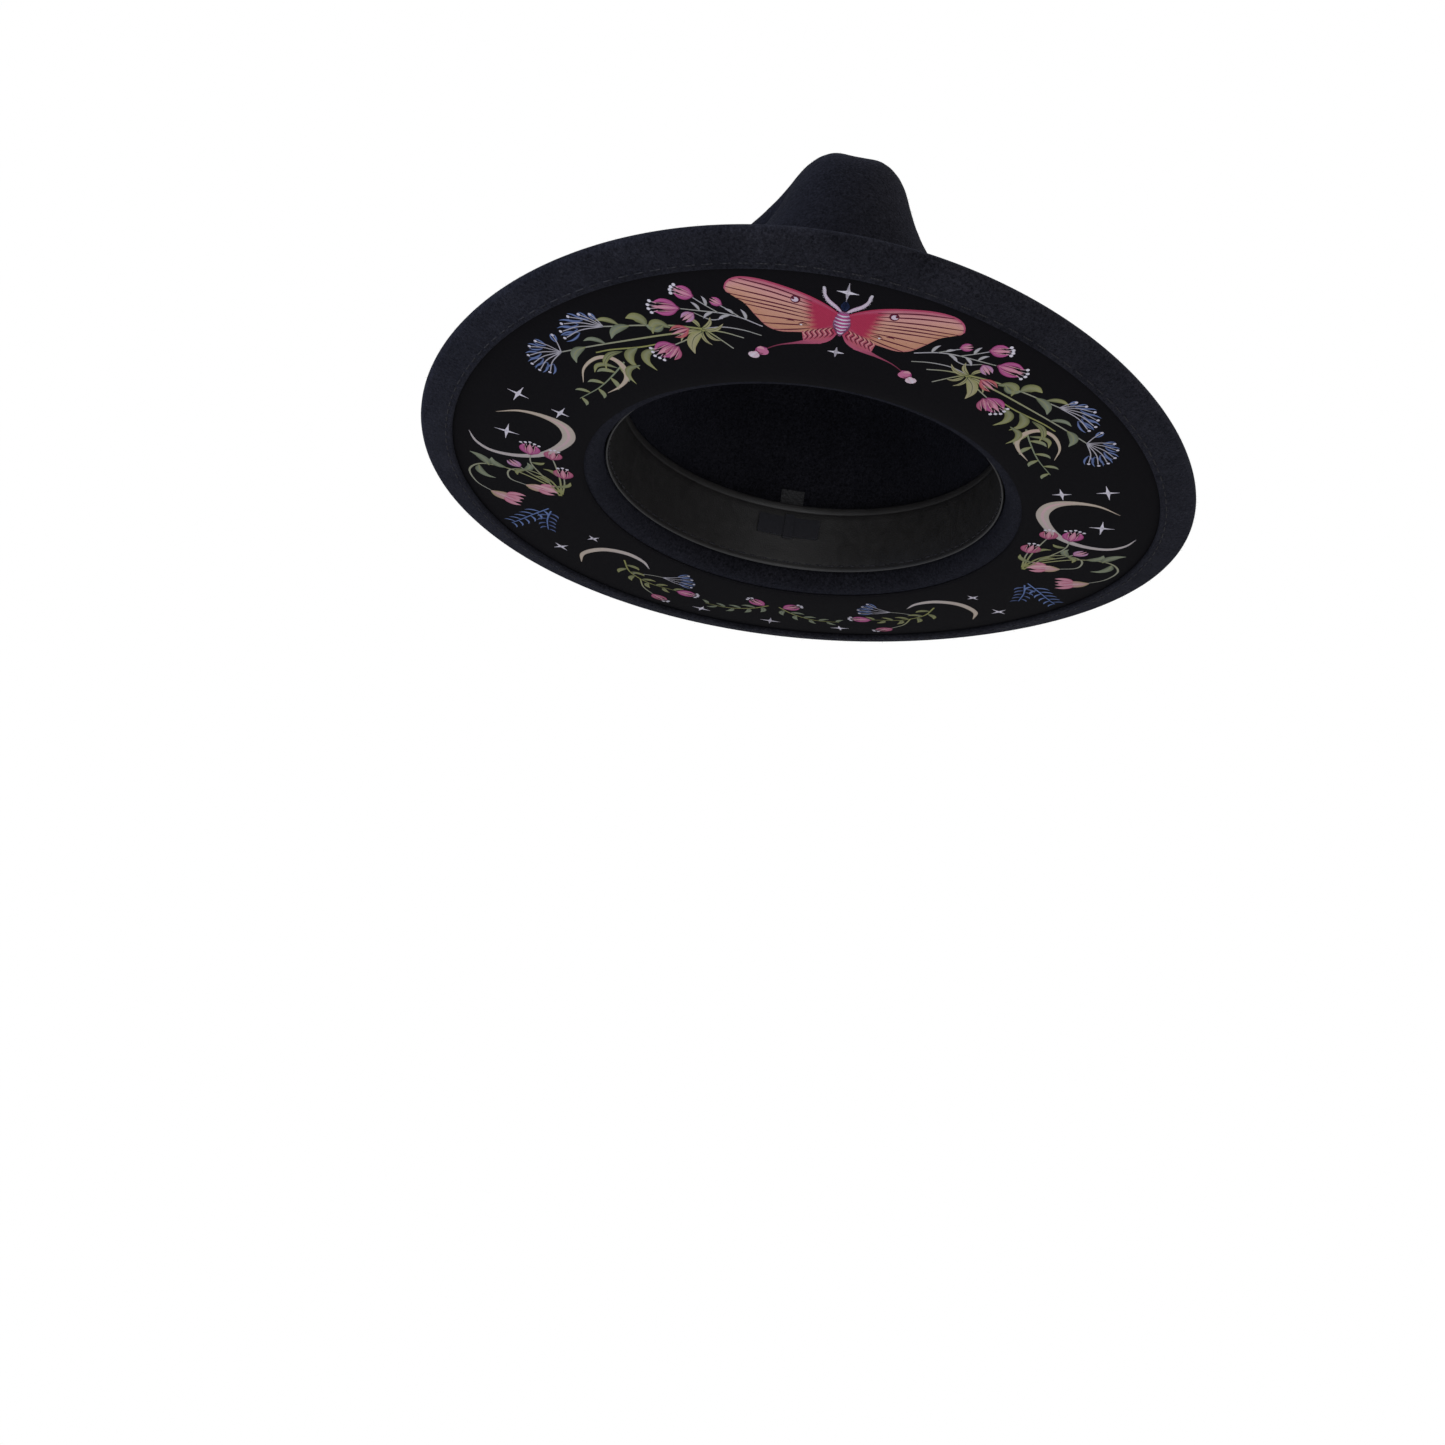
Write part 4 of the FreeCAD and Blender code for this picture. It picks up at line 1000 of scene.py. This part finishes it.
def plan_to_brim(plan):
    """(out, turn) of plan places under the brim, by Newton's method."""
    x, y = np.abs(plan[:, 0]), np.abs(plan[:, 1])
    reach = np.zeros(len(plan))
    for _ in range(12):
        wide, long = HEAD_HALF_WIDTH + reach, HEAD_HALF_LENGTH + reach
        over = (x / wide) ** 2 + (y / long) ** 2 - 1
        reach = reach + over / (2 * x ** 2 / wide ** 3 + 2 * y ** 2 / long ** 3)
    turn = np.arctan2(plan[:, 0] / (HEAD_HALF_WIDTH + reach), -plan[:, 1] / (HEAD_HALF_LENGTH + reach))
    return reach / (1 + BRIM_SWING * np.cos(2 * turn) / REACH), turn


def printed_ink():
    """Dye print: its colour soaks into the weave, so the cloth's black shows a little."""
    material, tree, shader = blank_material("printed_ink")
    weave = plain_weave(tree, 0.45 * MM)
    own = add_node(tree, "ShaderNodeAttribute", attribute_name="ink").outputs["Color"]
    soak = add_node(
        tree, "ShaderNodeMapRange", {"Value": weave, "From Min": -0.6, "From Max": 1.6, "To Min": 0.74})
    colour = two_tones(tree, 1.0, own, soak.outputs["Result"], "MULTIPLY")
    tree.links.new(colour, shader.inputs["Base Color"])
    raise_relief(tree, shader, weave, 0.3, 0.00012)
    shader.inputs["Roughness"].default_value = 0.85
    shader.inputs["Specular IOR Level"].default_value = 0.1
    return material


def build_print():
    plan = np.array(inked["plan"])
    lift = np.array(inked["lift"])
    out, turn = plan_to_brim(plan)
    places = felt_place(brim_station(out), turn, -CLOTH_UNDER - lift)
    faces = []
    for face in inked["faces"]:
        x, y = plan[list(face)].T
        swept = np.dot(x, np.roll(y, -1)) - np.dot(y, np.roll(x, -1))
        faces.append(face if swept < 0 else face[::-1])
    mesh = bpy.data.meshes.new("underbrim_print")
    mesh.from_pydata((places * MM).tolist(), [], faces)
    mesh.materials.append(printed_ink())
    mesh.polygons.foreach_set("use_smooth", [True] * len(faces))
    made = bpy.data.objects.new("underbrim_print", mesh)
    bpy.context.scene.collection.objects.link(made)
    tones = np.hstack([np.array(inked["ink"]), np.ones((len(plan), 1))])
    store(made, "ink", "FLOAT_COLOR", tones)
    return made


underbrim_print = build_print()
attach(underbrim_print, "root")


# ---- Overwelt stitches --------------------------------------------------------------------
# One row of running stitches in black waxed thread, through the overwelt's inner edge, the
# cloth and the brim. Each shows as a short arched dash.

LINE_COLUMNS = 720
STITCH_SUNK = 0.06


def thread_row_tree():
    """One arched stitch at each point, turned along its row and proud of its face."""
    tree, given, end = node_tree("thread_row", (
        ("Stitch length", "NodeSocketFloat"), ("Thread radius", "NodeSocketFloat"),
        ("Arch", "NodeSocketFloat"), ("Unevenness", "NodeSocketFloat"), ("Seed", "NodeSocketInt")))
    half = add_node(tree, "ShaderNodeMath", {0: given["Stitch length"], 1: 0.5}, operation="MULTIPLY")
    back = add_node(tree, "ShaderNodeMath", {0: half.outputs[0], 1: -1.0}, operation="MULTIPLY")
    start = add_node(tree, "ShaderNodeCombineXYZ", {"X": back.outputs[0]})
    top = add_node(tree, "ShaderNodeCombineXYZ", {"Z": given["Arch"]})
    stop = add_node(tree, "ShaderNodeCombineXYZ", {"X": half.outputs[0]})
    bend = add_node(tree, "GeometryNodeCurveQuadraticBezier", {
        "Resolution": 6, "Start": start.outputs[0], "Middle": top.outputs[0], "End": stop.outputs[0]})
    round_section = add_node(tree, "GeometryNodeCurvePrimitiveCircle", {
        "Resolution": 7, "Radius": given["Thread radius"]})
    stitch = add_node(tree, "GeometryNodeCurveToMesh", {
        "Curve": bend.outputs[0], "Profile Curve": round_section.outputs[0], "Fill Caps": True})
    points = add_node(tree, "GeometryNodeMeshToPoints", {"Mesh": given["Geometry"]})
    along = add_node(tree, "GeometryNodeInputNamedAttribute", {"Name": "along"}, data_type="FLOAT_VECTOR")
    proud = add_node(tree, "GeometryNodeInputNamedAttribute", {"Name": "proud"}, data_type="FLOAT_VECTOR")
    level = add_node(tree, "FunctionNodeAlignRotationToVector", {"Vector": along.outputs[0]}, axis="X")
    turned = add_node(tree, "FunctionNodeAlignRotationToVector", {
        "Rotation": level.outputs[0], "Vector": proud.outputs[0]}, axis="Z", pivot_axis="X")
    low = add_node(tree, "ShaderNodeMath", {0: 1.0, 1: given["Unevenness"]}, operation="SUBTRACT")
    high = add_node(tree, "ShaderNodeMath", {0: 1.0, 1: given["Unevenness"]}, operation="ADD")
    uneven = add_node(tree, "FunctionNodeRandomValue", {
        2: low.outputs[0], 3: high.outputs[0], "Seed": given["Seed"]}, data_type="FLOAT")
    placed = add_node(tree, "GeometryNodeInstanceOnPoints", {
        "Points": points.outputs[0], "Instance": stitch.outputs[0],
        "Rotation": turned.outputs[0], "Scale": uneven.outputs[1]})
    end_tree(tree, given, end, placed.outputs[0])
    return tree


thread_row = thread_row_tree()


def twisted_thread(name, dark, light):
    """Twisted thread: fine slanting plies."""
    material, tree, shader = blank_material(name)
    place = add_node(tree, "ShaderNodeTexCoord").outputs["Object"]
    plies = add_node(
        tree, "ShaderNodeTexWave",
        {"Vector": place, "Scale": 480.0, "Distortion": 1.5, "Detail": 2.0}, bands_direction="DIAGONAL")
    colour = two_tones(tree, plies.outputs["Fac"], dark, light)
    tree.links.new(colour, shader.inputs["Base Color"])
    raise_relief(tree, shader, plies.outputs["Fac"], 0.5, 0.0001)
    shader.inputs["Roughness"].default_value = 0.7
    shader.inputs["Specular IOR Level"].default_value = 0.2
    return material


black_thread = twisted_thread("black_waxed_thread", (0.006, 0.006, 0.008, 1), (0.026, 0.025, 0.029, 1))


def sew(name, ends, proud, length, radius, arch, thread):
    """Stitches between pairs of places in millimetres, proud of the face they lie on."""
    middles = ends.mean(axis=1)
    mesh = bpy.data.meshes.new(name)
    mesh.from_pydata((middles * MM).tolist(), [], [])
    made = bpy.data.objects.new(name, mesh)
    bpy.context.scene.collection.objects.link(made)
    store(made, "along", "FLOAT_VECTOR", ends[:, 1] - ends[:, 0])
    store(made, "proud", "FLOAT_VECTOR", proud)
    return run_nodes(made, thread_row, {
        "Stitch length": length * MM, "Thread radius": radius * MM, "Arch": arch * MM,
        "Unevenness": 0.06, "Seed": 3, "Material": thread})


def paced_turns(places, turns, count, length):
    """Turns of the two ends of each of `count` stitches, evenly paced along a closed line."""
    steps = np.linalg.norm(np.diff(np.vstack([places, places[:1]]), axis=0), axis=1)
    travelled = np.concatenate([[0.0], np.cumsum(steps)])
    starts = np.arange(count) * travelled[-1] / count
    whole = np.append(turns, 2 * math.pi)
    stops = np.interp(starts + length, travelled, whole)
    return np.stack([np.interp(starts, travelled, whole), stops], axis=1)


def build_welt_stitches(name, depth, shift, paced, length, radius, arch):
    """One side of the row, `depth` out of the felt's inner face and turned on by `shift`."""
    turns = full_turn(LINE_COLUMNS)
    station = brim_station(STITCH_OUT)
    pairs = paced_turns(felt_place(station, turns, depth), turns, STITCH_COUNT, paced) + shift
    ends = felt_place(station, pairs, np.full(pairs.shape, depth))
    out_of = face_axes(station, pairs.mean(axis=1))[1]
    return sew(name, ends, out_of * np.sign(depth), length, radius, arch, black_thread)


# the thread comes up through the top of the brim between the stitches below
welt_stitches_under = build_welt_stitches(
    "welt_stitches_under", STITCH_SUNK - SLOT_DEPTH - WELT_FELT, 0.0, 4.2, 4.2, 0.25, 0.26)
welt_stitches_above = build_welt_stitches(
    "welt_stitches_above", FELT - STITCH_SUNK, math.pi / STITCH_COUNT, 2.2, 2.4, 0.3, 0.35)
for row in (welt_stitches_under, welt_stitches_above):
    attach(row, "root")
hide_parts("welt_stitches")


# ---- Sweatband ----------------------------------------------------------------------------
# A band of black leather inside the foot of the crown, with its lower edge sewn to the felt
# and a scored line near its top. It stands off the felt at the back, where the sizing tape is.

BAND_COLUMNS = 360
SWEAT_LEATHER = 0.9
SWEAT_FOOT, SWEAT_TOP = 6.0, 36.0
SWEAT_GAP, SWEAT_BACK_GAP = 0.5, 5.0
SEAM_COUNT, SEAM_LENGTH = 113, 3.0


def beside_wall(height, turn, offset):
    """A place beside the crown's wall at this height, `offset` out from its inner face."""
    height, turn, offset = np.broadcast_arrays(np.asarray(height, float), turn, offset)
    climb = np.clip((height - WALL_FOOT) / (crest_height(turn) - WALL_FOOT), 0, 1)
    place = felt_place(2 - np.arcsin(climb) * 2 / math.pi, turn, offset)
    return stacked(place[..., 0], place[..., 1], height)


def sweatband_offset(turn, depth):
    to_back = ((1 - np.cos(turn)) / 2) ** 4
    return -mix(SWEAT_GAP, SWEAT_BACK_GAP, to_back) - depth


def black_leather():
    """Smooth black leather: pores and fine creases, its roughness varying over the creases."""
    material, tree, shader = blank_material("black_leather")
    place = add_node(tree, "ShaderNodeTexCoord").outputs["Object"]
    cells = add_node(
        tree, "ShaderNodeTexVoronoi", {"Vector": place, "Scale": 1150.0}, feature="DISTANCE_TO_EDGE")
    creases = add_node(
        tree, "ShaderNodeTexNoise", {"Vector": place, "Scale": 130.0, "Detail": 6.0, "Distortion": 1.4})
    tone = two_tones(tree, creases.outputs["Fac"], (0.0060, 0.0056, 0.0056, 1), (0.016, 0.0145, 0.0140, 1))
    tree.links.new(tone, shader.inputs["Base Color"])
    wear = add_node(
        tree, "ShaderNodeMapRange", {"Value": creases.outputs["Fac"], "To Min": 0.42, "To Max": 0.66})
    tree.links.new(wear.outputs["Result"], shader.inputs["Roughness"])
    height = add_node(
        tree, "ShaderNodeMath",
        {0: creases.outputs["Fac"], 1: 0.7, 2: cells.outputs["Distance"]}, operation="MULTIPLY_ADD")
    raise_relief(tree, shader, height.outputs[0], 0.35, 0.0003)
    return material


def hoop(name, section, columns, material):
    """A closed band round the crown: `section` gives its (height, offset) all the way round."""
    turns = full_turn(columns)
    rings = [beside_wall(height, turns, offset(turns)) for height, offset in section]
    return make_mesh(name, np.vstack(rings), ring_quads(len(rings), columns, around_rows=True), material)


def sweatband_section():
    """Round the leather: up its felt side, over its skived top, and down its head side."""
    def at(depth):
        return lambda turn: sweatband_offset(turn, depth)

    section = [(height, at(0.0)) for height in np.linspace(SWEAT_FOOT + 0.3, SWEAT_TOP - 0.4, 10)]
    section += [(SWEAT_TOP - 0.1, at(0.16)), (SWEAT_TOP, at(0.45)), (SWEAT_TOP - 0.1, at(0.74))]
    score = SWEAT_TOP - 3.2
    for height, depth in ((SWEAT_TOP - 0.5, 0.9), (score + 0.7, 0.9), (score + 0.3, 0.74), (score, 0.66),
                          (score - 0.3, 0.74), (score - 0.7, 0.9)):
        section.append((height, at(depth)))
    section += [(height, at(0.9)) for height in np.linspace(score - 3, SWEAT_FOOT + 3.6, 7)]
    for height, depth in ((SWEAT_FOOT + 3.0, 0.86), (SWEAT_FOOT + 2.5, 0.78), (SWEAT_FOOT + 2.0, 0.86),
                          (SWEAT_FOOT + 1.2, 0.9), (SWEAT_FOOT + 0.3, 0.86), (SWEAT_FOOT, 0.45)):
        section.append((height, at(depth)))
    return section


sweatband = hoop("sweatband_leather", sweatband_section(), BAND_COLUMNS, black_leather())
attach(sweatband, "root")
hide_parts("sweatband")


def build_sweatband_seam():
    turns = full_turn(LINE_COLUMNS)
    depth = SWEAT_LEATHER + 0.02
    height = SWEAT_FOOT + 2.5
    line = beside_wall(height, turns, sweatband_offset(turns, depth))
    pairs = paced_turns(line, turns, SEAM_COUNT, SEAM_LENGTH)
    ends = beside_wall(height, pairs, sweatband_offset(pairs, depth))
    middle = pairs.mean(axis=1)
    inward = -stacked(np.sin(middle), -np.cos(middle), 0 * middle)
    return sew("sweatband_seam", ends, inward, SEAM_LENGTH, 0.3, 0.5, black_thread)


sweatband_seam = build_sweatband_seam()
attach(sweatband_seam, "root")
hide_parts("sweatband_stitches")


# ---- Hatband ------------------------------------------------------------------------------
# Black grosgrain ribbon round the foot of the crown: fine ribs run across it, and both edges
# have a small picot selvedge. Its ends meet under the bow at the wearer's left.

RIBBON = 0.9
RIBBON_GAP = 0.3
RIBBON_FOOT, RIBBON_TOP = 9.0, 41.0
RIBBON_INNER = FELT + RIBBON_GAP
RIBBON_OUTER = RIBBON_INNER + RIBBON
RIB_COUNT = 620
SAMPLES_PER_RIB = 4


def grosgrain_tree():
    """Raises ribs along a ribbon, from each point's share of the way along it."""
    tree, given, end = node_tree("grosgrain_ribs", (
        ("Rib count", "NodeSocketFloat"), ("Rib height", "NodeSocketFloat")))
    share = add_node(
        tree, "GeometryNodeInputNamedAttribute", {"Name": "share"}, data_type="FLOAT")
    turns = add_node(
        tree, "ShaderNodeMath", {0: given["Rib count"], 1: math.pi}, operation="MULTIPLY")
    phase = add_node(
        tree, "ShaderNodeMath", {0: share.outputs[0], 1: turns.outputs[0]}, operation="MULTIPLY")
    wave = add_node(tree, "ShaderNodeMath", {0: phase.outputs[0]}, operation="SINE")
    ridge = add_node(tree, "ShaderNodeMath", {0: wave.outputs[0]}, operation="ABSOLUTE")
    lift = add_node(
        tree, "ShaderNodeMath", {0: ridge.outputs[0], 1: given["Rib height"]}, operation="MULTIPLY")
    normal = add_node(tree, "GeometryNodeInputNormal")
    offset = add_node(
        tree, "ShaderNodeVectorMath", {0: normal.outputs[0], "Scale": lift.outputs[0]}, operation="SCALE")
    raised = add_node(
        tree, "GeometryNodeSetPosition", {"Geometry": given["Geometry"], "Offset": offset.outputs[0]})
    end_tree(tree, given, end, raised.outputs[0])
    return tree


grosgrain_ribs = grosgrain_tree()


def black_grosgrain():
    material, tree, shader = blank_material("black_grosgrain")
    place = add_node(tree, "ShaderNodeTexCoord").outputs["Object"]
    yarn = add_node(tree, "ShaderNodeTexWave", {
        "Vector": place, "Scale": 520.0, "Distortion": 0.6, "Detail": 2.0}, bands_direction="Z")
    fuzz = add_node(tree, "ShaderNodeTexNoise", {"Vector": place, "Scale": 700.0, "Detail": 4.0})
    factor = add_node(
        tree, "ShaderNodeMath", {0: yarn.outputs["Fac"], 1: fuzz.outputs["Fac"]}, operation="MULTIPLY")
    colour = two_tones(tree, factor.outputs[0], (0.0050, 0.0050, 0.0062, 1), (0.020, 0.020, 0.023, 1))
    tree.links.new(colour, shader.inputs["Base Color"])
    raise_relief(tree, shader, factor.outputs[0], 0.3, 0.0001)
    shader.inputs["Roughness"].default_value = 0.6
    shader.inputs["Specular IOR Level"].default_value = 0.22
    shader.inputs["Sheen Weight"].default_value = 0.03
    return material


grosgrain = black_grosgrain()


def hatband_section():
    """Up the felt side, over the corded upper edge, down the outside, round the lower edge."""
    def at(offset):
        return lambda turn: np.full(turn.shape, offset)

    section = [(height, at(RIBBON_INNER)) for height in np.linspace(RIBBON_FOOT + 0.5, RIBBON_TOP - 0.5, 5)]
    section += [(RIBBON_TOP, at(RIBBON_INNER + 0.4)), (RIBBON_TOP - 0.3, at(RIBBON_OUTER))]
    section += [(RIBBON_TOP - 0.9, at(RIBBON_OUTER)), (RIBBON_TOP - 1.2, at(RIBBON_OUTER - 0.22))]
    face = np.linspace(RIBBON_TOP - 4, RIBBON_FOOT + 4, 6)
    section += [(height, at(RIBBON_OUTER - 0.16)) for height in face]
    section += [(RIBBON_FOOT + 1.2, at(RIBBON_OUTER - 0.22)), (RIBBON_FOOT + 0.9, at(RIBBON_OUTER))]
    section += [(RIBBON_FOOT + 0.3, at(RIBBON_OUTER)), (RIBBON_FOOT, at(RIBBON_INNER + 0.4))]
    return section


def build_hatband():
    columns = RIB_COUNT * SAMPLES_PER_RIB
    section = hatband_section()
    made = hoop("hatband_ribbon", section, columns, grosgrain)
    store(made, "share", "FLOAT", np.tile(np.arange(columns) / columns, len(section)))
    return run_nodes(made, grosgrain_ribs, {
        "Rib count": float(RIB_COUNT), "Rib height": 0.14 * MM, "Material": grosgrain})


hatband = build_hatband()
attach(hatband, "root")
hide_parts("hatband")


# ---- Hatband bow --------------------------------------------------------------------------
# A flat bow on the wearer's left: each loop is ribbon folded back on itself and drawn in at
# the middle, and a short wrap of the same ribbon covers the middle.

BOW_LAYER = 0.8
BOW_INNER = RIBBON_OUTER + 0.3
BOW_OUTER = BOW_INNER + 2.6
BOW_SIDE = 90.0
BOW_LOW, BOW_HIGH = RIBBON_FOOT + 1.5, RIBBON_TOP - 1.5
BOW_ROWS = 15
LOOP_NEAR, LOOP_FAR, LOOP_FOLD = 2.0, 15.0, 0.9
LOOP_RIBS, WRAP_RIBS = 52, 12
WRAP_HALF = 4.0
LOOPS_DRAWN_IN = 4.5


def ribbon_along(name, route, low_at, high_at, rib_count):
    """Ribbon that follows a closed outline of (degrees, offset) places, beside the crown."""
    rows = []
    for across in np.linspace(0, 1, BOW_ROWS):
        ring = []
        for degrees, offset in route:
            height = mix(low_at(degrees), high_at(degrees), across)
            ring.append(beside_wall(height, math.radians(degrees), offset))
        rows.append(np.array(ring))
    count = len(route)
    places = np.vstack(rows)
    faces = ring_quads(BOW_ROWS, count)
    for row in (0, BOW_ROWS - 1):
        for step in range(count // 2 - 1):
            first, second = row * count + step, row * count + count - 1 - step
            face = (first, first + 1, second - 1, second)
            faces.append(face if row else face[::-1])
    made = make_mesh(name, places, faces, grosgrain)
    share = np.abs(np.linspace(-1, 1, count))
    store(made, "share", "FLOAT", np.tile(share, BOW_ROWS))
    return run_nodes(made, grosgrain_ribs, {
        "Rib count": float(rib_count), "Rib height": 0.12 * MM, "Material": grosgrain})


def loop_route(side):
    """Outline of one folded loop, seen from above: out along its face, round its fold, and back."""
    fold_at = LOOP_FAR - LOOP_FOLD
    middle = (BOW_INNER + BOW_OUTER) / 2

    def fold(wide, thick):
        return [(fold_at + wide * math.sin(lean), middle + thick * math.cos(lean))
                for lean in np.linspace(0.2, math.pi - 0.2, 12)]

    outside, inside = [], []
    for share in np.linspace(0, 1, 64):
        degrees = mix(LOOP_NEAR, fold_at, share)
        puff = math.sin(math.pi * share) * 0.25 + 1.05
        outside.append((degrees, middle + puff))
        inside.append((degrees, middle + puff - BOW_LAYER))
    under_out = [(degrees, 2 * middle - offset) for degrees, offset in reversed(outside)]
    under_in = [(degrees, 2 * middle - offset) for degrees, offset in reversed(inside)]
    outer = outside + fold(0.85, 1.05) + under_out
    inner = inside + fold(0.35, 0.3) + under_in
    return [(BOW_SIDE + side * degrees, offset) for degrees, offset in outer + inner[::-1]]


def drawn_in(degrees, edge, middle):
    """The loops are narrower at the bow's middle than at their ends."""
    away = abs(degrees - BOW_SIDE)
    return mix(middle, edge, float(ease((away - 1.0) / 8.0)))


for side_name, side in (("front", -1), ("back", 1)):
    loop = ribbon_along(
        "bow_loop_" + side_name, loop_route(side),
        lambda degrees: drawn_in(degrees, BOW_LOW, BOW_LOW + LOOPS_DRAWN_IN),
        lambda degrees: drawn_in(degrees, BOW_HIGH, BOW_HIGH - LOOPS_DRAWN_IN), LOOP_RIBS)
    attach(loop, "root")
    if side == -1:
        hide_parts("hatband_bow_loops")


def wrap_route():
    inner = BOW_OUTER + 0.3
    outside, inside = [], []
    for share in np.linspace(-1, 1, 40):
        crown = 1.55 - 0.75 * abs(share) ** 3
        outside.append((BOW_SIDE + WRAP_HALF * share, inner + crown))
        inside.append((BOW_SIDE + WRAP_HALF * share, inner + crown - BOW_LAYER))
    return outside + inside[::-1]


bow_wrap = ribbon_along(
    "bow_wrap", wrap_route(),
    lambda degrees: BOW_LOW + 0.3 * math.cos(math.radians((degrees - BOW_SIDE) * 22)),
    lambda degrees: BOW_HIGH - 0.3 * math.cos(math.radians((degrees - BOW_SIDE) * 22)), WRAP_RIBS)
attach(bow_wrap, "root")
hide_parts("hatband_bow_knot")


# ---- Hatband tacks ------------------------------------------------------------------------
# Short hand stitches in black thread near both edges hold the ribbon to the felt.

def build_tacks():
    ends, proud = [], []
    for index in range(8):
        turn = math.radians(BOW_SIDE + 45.0 * (index + 0.5))
        for height in (RIBBON_TOP - 1.2, RIBBON_FOOT + 1.2):
            pair = [beside_wall(height + step, turn, RIBBON_OUTER + 0.12) for step in (-1.2, 1.2)]
            ends.append(pair)
            proud.append((math.sin(turn), -math.cos(turn), 0.0))
    return sew("hatband_tack_stitches", np.array(ends), np.array(proud), 2.4, 0.3, 0.4, black_thread)


hatband_tacks = build_tacks()
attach(hatband_tacks, "root")
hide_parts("hatband_tacks")


# ---- Sweatband bow and sizing tapes -------------------------------------------------------
# At the back: a tiny satin bow over the sweatband's joint, a strip of loop tape glued to the
# felt behind the sweatband, and the hook tab that presses on to it to set the size.

def black_satin():
    material, tree, shader = blank_material("black_satin")
    place = add_node(tree, "ShaderNodeTexCoord").outputs["Object"]
    yarn = add_node(tree, "ShaderNodeTexWave", {
        "Vector": place, "Scale": 620.0, "Distortion": 0.4, "Detail": 1.0}, bands_direction="X")
    colour = two_tones(tree, yarn.outputs["Fac"], (0.008, 0.008, 0.010, 1), (0.026, 0.026, 0.031, 1))
    tree.links.new(colour, shader.inputs["Base Color"])
    raise_relief(tree, shader, yarn.outputs["Fac"], 0.3, 0.00015)
    shader.inputs["Roughness"].default_value = 0.35
    return material


def looped_nylon(name, scale):
    """Nylon tape: a fuzz of tiny loops or hooks over a plain ground."""
    material, tree, shader = blank_material(name)
    place = add_node(tree, "ShaderNodeTexCoord").outputs["Object"]
    loops = add_node(tree, "ShaderNodeTexVoronoi", {"Vector": place, "Scale": scale})
    colour = two_tones(tree, loops.outputs["Distance"], (0.024, 0.024, 0.026, 1), (0.006, 0.006, 0.007, 1))
    tree.links.new(colour, shader.inputs["Base Color"])
    raise_relief(tree, shader, loops.outputs["Distance"], 0.8, 0.0004)
    shader.inputs["Roughness"].default_value = 0.7
    return material


for node_name, finish in (
        ("sweatband_bow", black_satin()), ("sizing_loop_tape", looped_nylon("loop_nylon", 1300.0)),
        ("sizing_hook_tab", looped_nylon("hook_nylon", 900.0))):
    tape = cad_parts[node_name]
    tape.data.materials.clear()
    tape.data.materials.append(finish)
